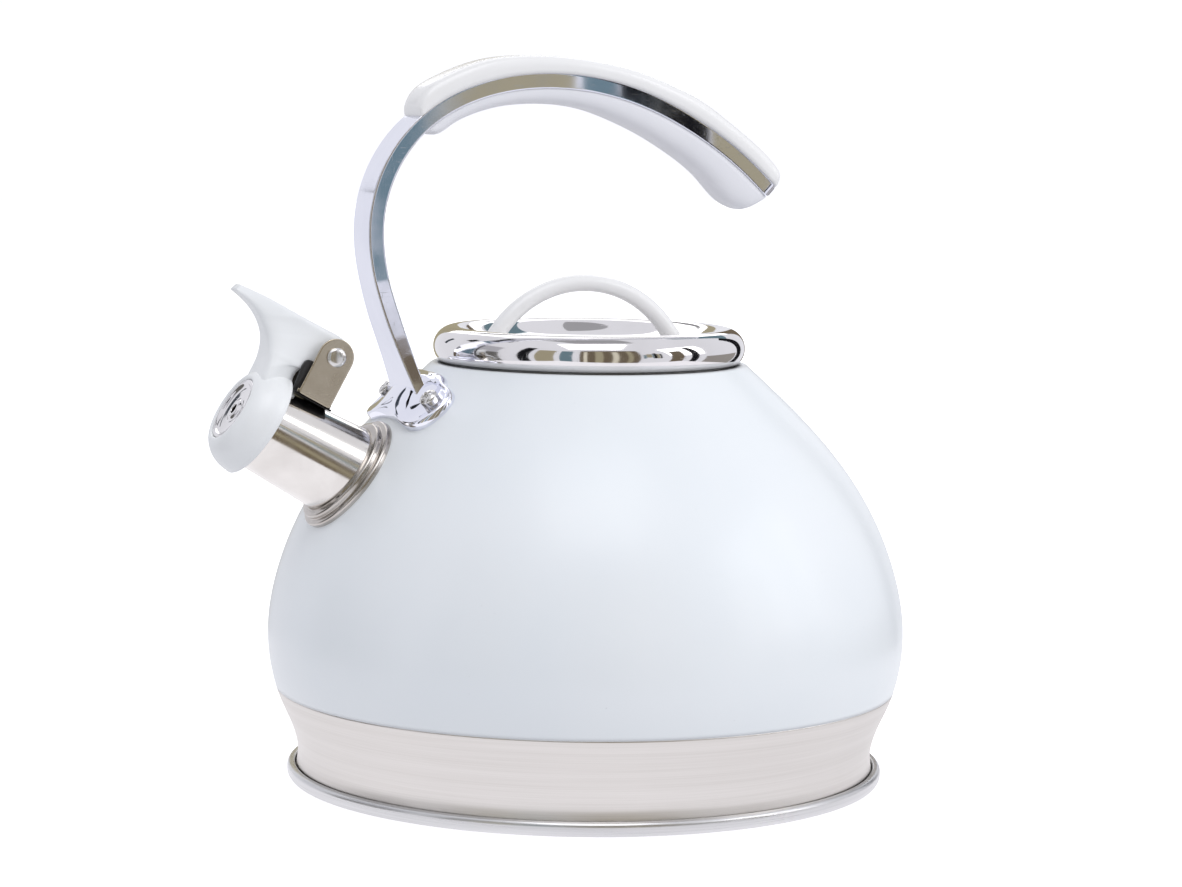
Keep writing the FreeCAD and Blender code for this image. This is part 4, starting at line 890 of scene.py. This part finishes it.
radius = np.linspace(0, HEAD, 34)[:, None]
a = np.linspace(0, TURN, 120, endpoint=False)[None]
x, y = radius * np.cos(a + CROSS_TURN), radius * np.sin(a + CROSS_TURN)
top = HEAD_TOP - 0.95 * (radius / HEAD) ** 3 - CROSS_DEEP * np.maximum(cross_arm(x, y), cross_arm(y, x))
head = np.stack([radius * np.cos(a), radius * np.sin(a), top], -1)
below = turned(np.array([(3.18, 4.4), (3.2, 4.2), (3.2, 2.2), (3.1, 2.1), (0.0, 2.1)]), 120)
screws = []
for side in (-1, 1):
    out = np.array((-math.cos(SCREW_SWING), side * math.sin(SCREW_SWING), 0.0))
    axis = out * math.cos(SCREW_RISE) + np.array((0.0, 0.0, math.sin(SCREW_RISE)))
    seat = out * SCREW_SEAT + np.array((0.0, 0.0, SCREW_HIGH))
    screws.append(shell(placed(np.concatenate([head, below]), seat, axis), False))
make_piece("saddle_screw_heads", "kettle", RIVET, screws, "saddle_screws")

# %% [markdown]
# ## Pieces carried over from the CAD
# The sealed core, the pan floor, the neck, the lid's underside, the seal and the small
# fixings have the right shape already: they are plain turned or cut parts, mostly
# inside. They keep their CAD mesh and get a finish of their own by filling the slots of
# their objects.

# %% Finishes for the CAD nodes
CARRIED = {"base_core": ALUMINIUM, "pan_floor": INNER_STEEL, "neck_ring": INNER_STEEL,
           "saddle_backing": INNER_STEEL, "lid_skirt": INNER_STEEL, "lid_inner_plate": INNER_STEEL,
           "bow_nuts": RIVET, "whistle_cup": INNER_STEEL, "cap_seal": SEAL}
for node, material in CARRIED.items():
    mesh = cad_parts[node].data
    mesh.materials.clear()
    mesh.materials.append(material)
print("carried over:", ", ".join(CARRIED))

# %% [markdown]
# ## Floor, cards and light
# White goods are shot in a bright white surround, which lights them from all sides. The
# metal then needs something dark to reflect, or it looks like paint, so studios
# stand coloured and black cards out of sight. These cards are seen only in reflections.
# The floor is a plain pale sheet. Reflections see a smaller bright card in its place, so
# that polished metal shows a table with an edge and a darker room beyond it.


# %% Studio
def stage_sheet(name, corners, colour, glow=None, hidden=False, soft_glow=0.0):
    """A flat four-cornered sheet; with glow it shines evenly and is not lit."""
    mesh = bpy.data.meshes.new(name)
    mesh.from_pydata([tuple(c) for c in corners], [], [(0, 1, 2, 3)])
    sheet = bpy.data.objects.new(name, mesh)
    bpy.context.scene.collection.objects.link(sheet)
    material = bpy.data.materials.new(name)
    material.use_nodes = True
    shader = material.node_tree.nodes["Principled BSDF"]
    shader.inputs["Base Color"].default_value = (*colour, 1.0) if glow is None else (0, 0, 0, 1)
    shader.inputs["Roughness"].default_value = 0.9
    shader.inputs["Specular IOR Level"].default_value = 0.1 if glow is None else 0.0
    if glow is not None:
        shader.inputs["Emission Color"].default_value = (*colour, 1.0)
        shader.inputs["Emission Strength"].default_value = glow
    else:
        shader.inputs["Emission Color"].default_value = (1.0, 1.0, 1.0, 1.0)
        shader.inputs["Emission Strength"].default_value = soft_glow
    mesh.materials.append(material)
    if hidden:
        sheet.visible_camera = sheet.visible_diffuse = sheet.visible_shadow = False
    sheet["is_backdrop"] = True
    return sheet


def upright_card(name, azimuth, distance, shift, half, low, high, colour):
    """A card square to a direction round the kettle; azimuth 0 is its broad face."""
    a = math.radians(azimuth)
    away, level = Vector((math.sin(a), -math.cos(a), 0)), Vector((math.cos(a), math.sin(a), 0))
    corners = [away * distance + level * (shift + side * half) + Vector((0, 0, z))
               for side, z in ((-1, low), (1, low), (1, high), (-1, high))]
    return stage_sheet(name, corners, colour, glow=1.0, hidden=True)


def level_sheet(low, high, height):
    """The four corners of a level sheet between two (x, y) corners, in metres."""
    return [(*low, height), (high[0], low[1], height), (*high, height), (low[0], high[1], height)]


floor = stage_sheet("floor", level_sheet((-6.0, -6.0), (6.0, 6.0), -0.0003), (0.93, 0.93, 0.935),
                    soft_glow=0.6)
floor.visible_diffuse = floor.visible_glossy = False
stage_sheet("table_card", level_sheet((-0.34, -0.34), (0.34, 0.34), -0.0010), (1.08, 1.07, 1.12),
            glow=1.0, hidden=True)
stage_sheet("ceiling_grey_card", level_sheet((-0.30, -0.25), (0.50, 0.60), 1.9), (0.40, 0.40, 0.42),
            glow=1.0, hidden=True)
stage_sheet("ceiling_black_card", level_sheet((-0.95, 0.45), (-0.35, 0.85), 1.6), (0.02, 0.022, 0.026),
            glow=1.0, hidden=True)
KHAKI, BROWN, TEAL = (0.40, 0.36, 0.25), (0.17, 0.135, 0.095), (0.16, 0.24, 0.28)
BLACK, CREAM, GREY = (0.010, 0.010, 0.012), (0.80, 0.75, 0.62), (0.15, 0.145, 0.14)
WARM, MIST = (0.34, 0.32, 0.30), (0.50, 0.50, 0.54)
CARDS = [("strip_teal_card", 23.5, 1.5, -0.160, 0.030, 0.04, 0.50, TEAL),
         ("strip_khaki_card", 23.5, 1.5, -0.072, 0.052, 0.16, 0.60, KHAKI),
         ("strip_blue_card", 23.5, 1.5, 0.000, 0.014, 0.12, 0.60, TEAL),
         ("strip_black_card", 23.5, 1.5, 0.052, 0.036, 0.04, 0.70, BLACK),
         ("strip_green_card", 23.5, 1.5, 0.116, 0.026, 0.04, 0.60, KHAKI),
         ("strip_end_card", 23.5, 1.5, 0.170, 0.020, 0.04, 0.60, BLACK),
         ("room_card", -8, 1.62, 0.0, 0.66, -1.5, 1.35, BROWN),
         ("first_window_card", -26, 1.55, 0.0, 0.035, -1.2, 1.05, CREAM),
         ("second_window_card", -16, 1.55, 0.0, 0.080, -1.2, 1.15, KHAKI),
         ("third_window_card", -4, 1.55, 0.0, 0.060, -1.2, 1.05, CREAM),
         ("fourth_window_card", 7, 1.55, 0.0, 0.050, -1.2, 1.15, KHAKI),
         ("teal_card", -40, 1.5, 0.0, 0.12, -0.9, 1.1, TEAL),
         ("khaki_card", -56, 1.6, 0.0, 0.20, -0.9, 1.2, KHAKI),
         ("black_card", -72, 1.5, 0.0, 0.12, -0.9, 1.5, BLACK),
         ("left_grey_card", -112, 1.4, 0.0, 0.50, -1.4, 0.40, GREY),
         ("left_mist_card", -112, 1.5, 0.0, 0.50, 0.40, 1.1, MIST),
         ("right_brown_card", 44, 1.6, 0.0, 0.15, -0.6, 0.9, BROWN),
         ("right_black_card", 60, 1.6, 0.0, 0.10, -0.9, 1.3, BLACK),
         ("right_warm_card", 92, 1.6, 0.0, 0.60, -1.5, 0.04, WARM),
         ("far_black_card", 120, 1.8, 0.0, 0.16, -0.6, 1.2, BLACK),
         ("far_khaki_card", 168, 1.8, 0.0, 0.30, -0.6, 0.8, KHAKI),
         ("far_brown_card", 146, 1.8, 0.0, 0.14, -0.6, 0.7, BROWN),
         ("back_grey_card", 160, 1.7, 0.0, 0.42, 1.0, 2.4, (0.30, 0.30, 0.31)),
         ("back_teal_card", 131, 1.7, 0.0, 0.20, 0.9, 2.2, TEAL),
         ("disc_card", -157.2, 1.7, 0.0, 0.066, 0.45, 0.90, (0.05, 0.06, 0.075)),
         ("saddle_black_card", -140, 1.6, 0.0, 0.12, 1.15, 1.5, BLACK)]
for card in CARDS:
    upright_card(*card)


def area_light(name, place, target, width, power):
    """A square soft light aimed at a point."""
    lamp = bpy.data.lights.new(name, "AREA")
    lamp.shape, lamp.size, lamp.energy = "SQUARE", width, power
    light = bpy.data.objects.new(name, lamp)
    light.location = place
    light.rotation_euler = (Vector(target) - Vector(place)).to_track_quat("-Z", "Y").to_euler()
    bpy.context.scene.collection.objects.link(light)
    return light


area_light("key_light", (1.5, -1.1, 0.9), (0, 0, 0.1), 1.2, 10)
area_light("top_light", (-0.3, -0.9, 1.9), (0, 0, 0.1), 1.2, 8)
area_light("back_light", (0.6, 1.6, 1.4), (0, 0, 0.1), 1.4, 8)
# The surround's strength, how much brighter it looks directly, and the share of that in reflections.
WORLD_LIGHT, SEEN_EXTRA, MIRROR_SHARE = 0.76, 0.32, 0.5
world = bpy.data.worlds.new("white_surround")
world.use_nodes = True
tree = world.node_tree
ray = tree.nodes.new("ShaderNodeLightPath")
level = tree.nodes.new("ShaderNodeMath")
level.operation, level.use_clamp = "MULTIPLY_ADD", False
level.inputs[1].default_value, level.inputs[2].default_value = SEEN_EXTRA, WORLD_LIGHT
seen = tree.nodes.new("ShaderNodeMath")
seen.operation, seen.inputs[1].default_value = "MULTIPLY_ADD", MIRROR_SHARE
tree.links.new(ray.outputs["Is Glossy Ray"], seen.inputs[0])
tree.links.new(ray.outputs["Is Camera Ray"], seen.inputs[2])
tree.links.new(seen.outputs[0], level.inputs[0])
tree.links.new(level.outputs[0], tree.nodes["Background"].inputs["Strength"])
tree.nodes["Background"].inputs["Color"].default_value = (0.94, 0.945, 1.0, 1.0)
bpy.context.scene.world = world
bpy.context.scene.view_settings.view_transform = "Standard"
print("cards:", len(CARDS))

# %% Size and finish
boxes = [[list(corner) for corner in box] for box in (cad_box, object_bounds())]
for name, (low, high) in zip(("CAD", "dressed"), boxes):
    print(name, [round((b - a) / MM, 1) for a, b in zip(low, high)], "mm")
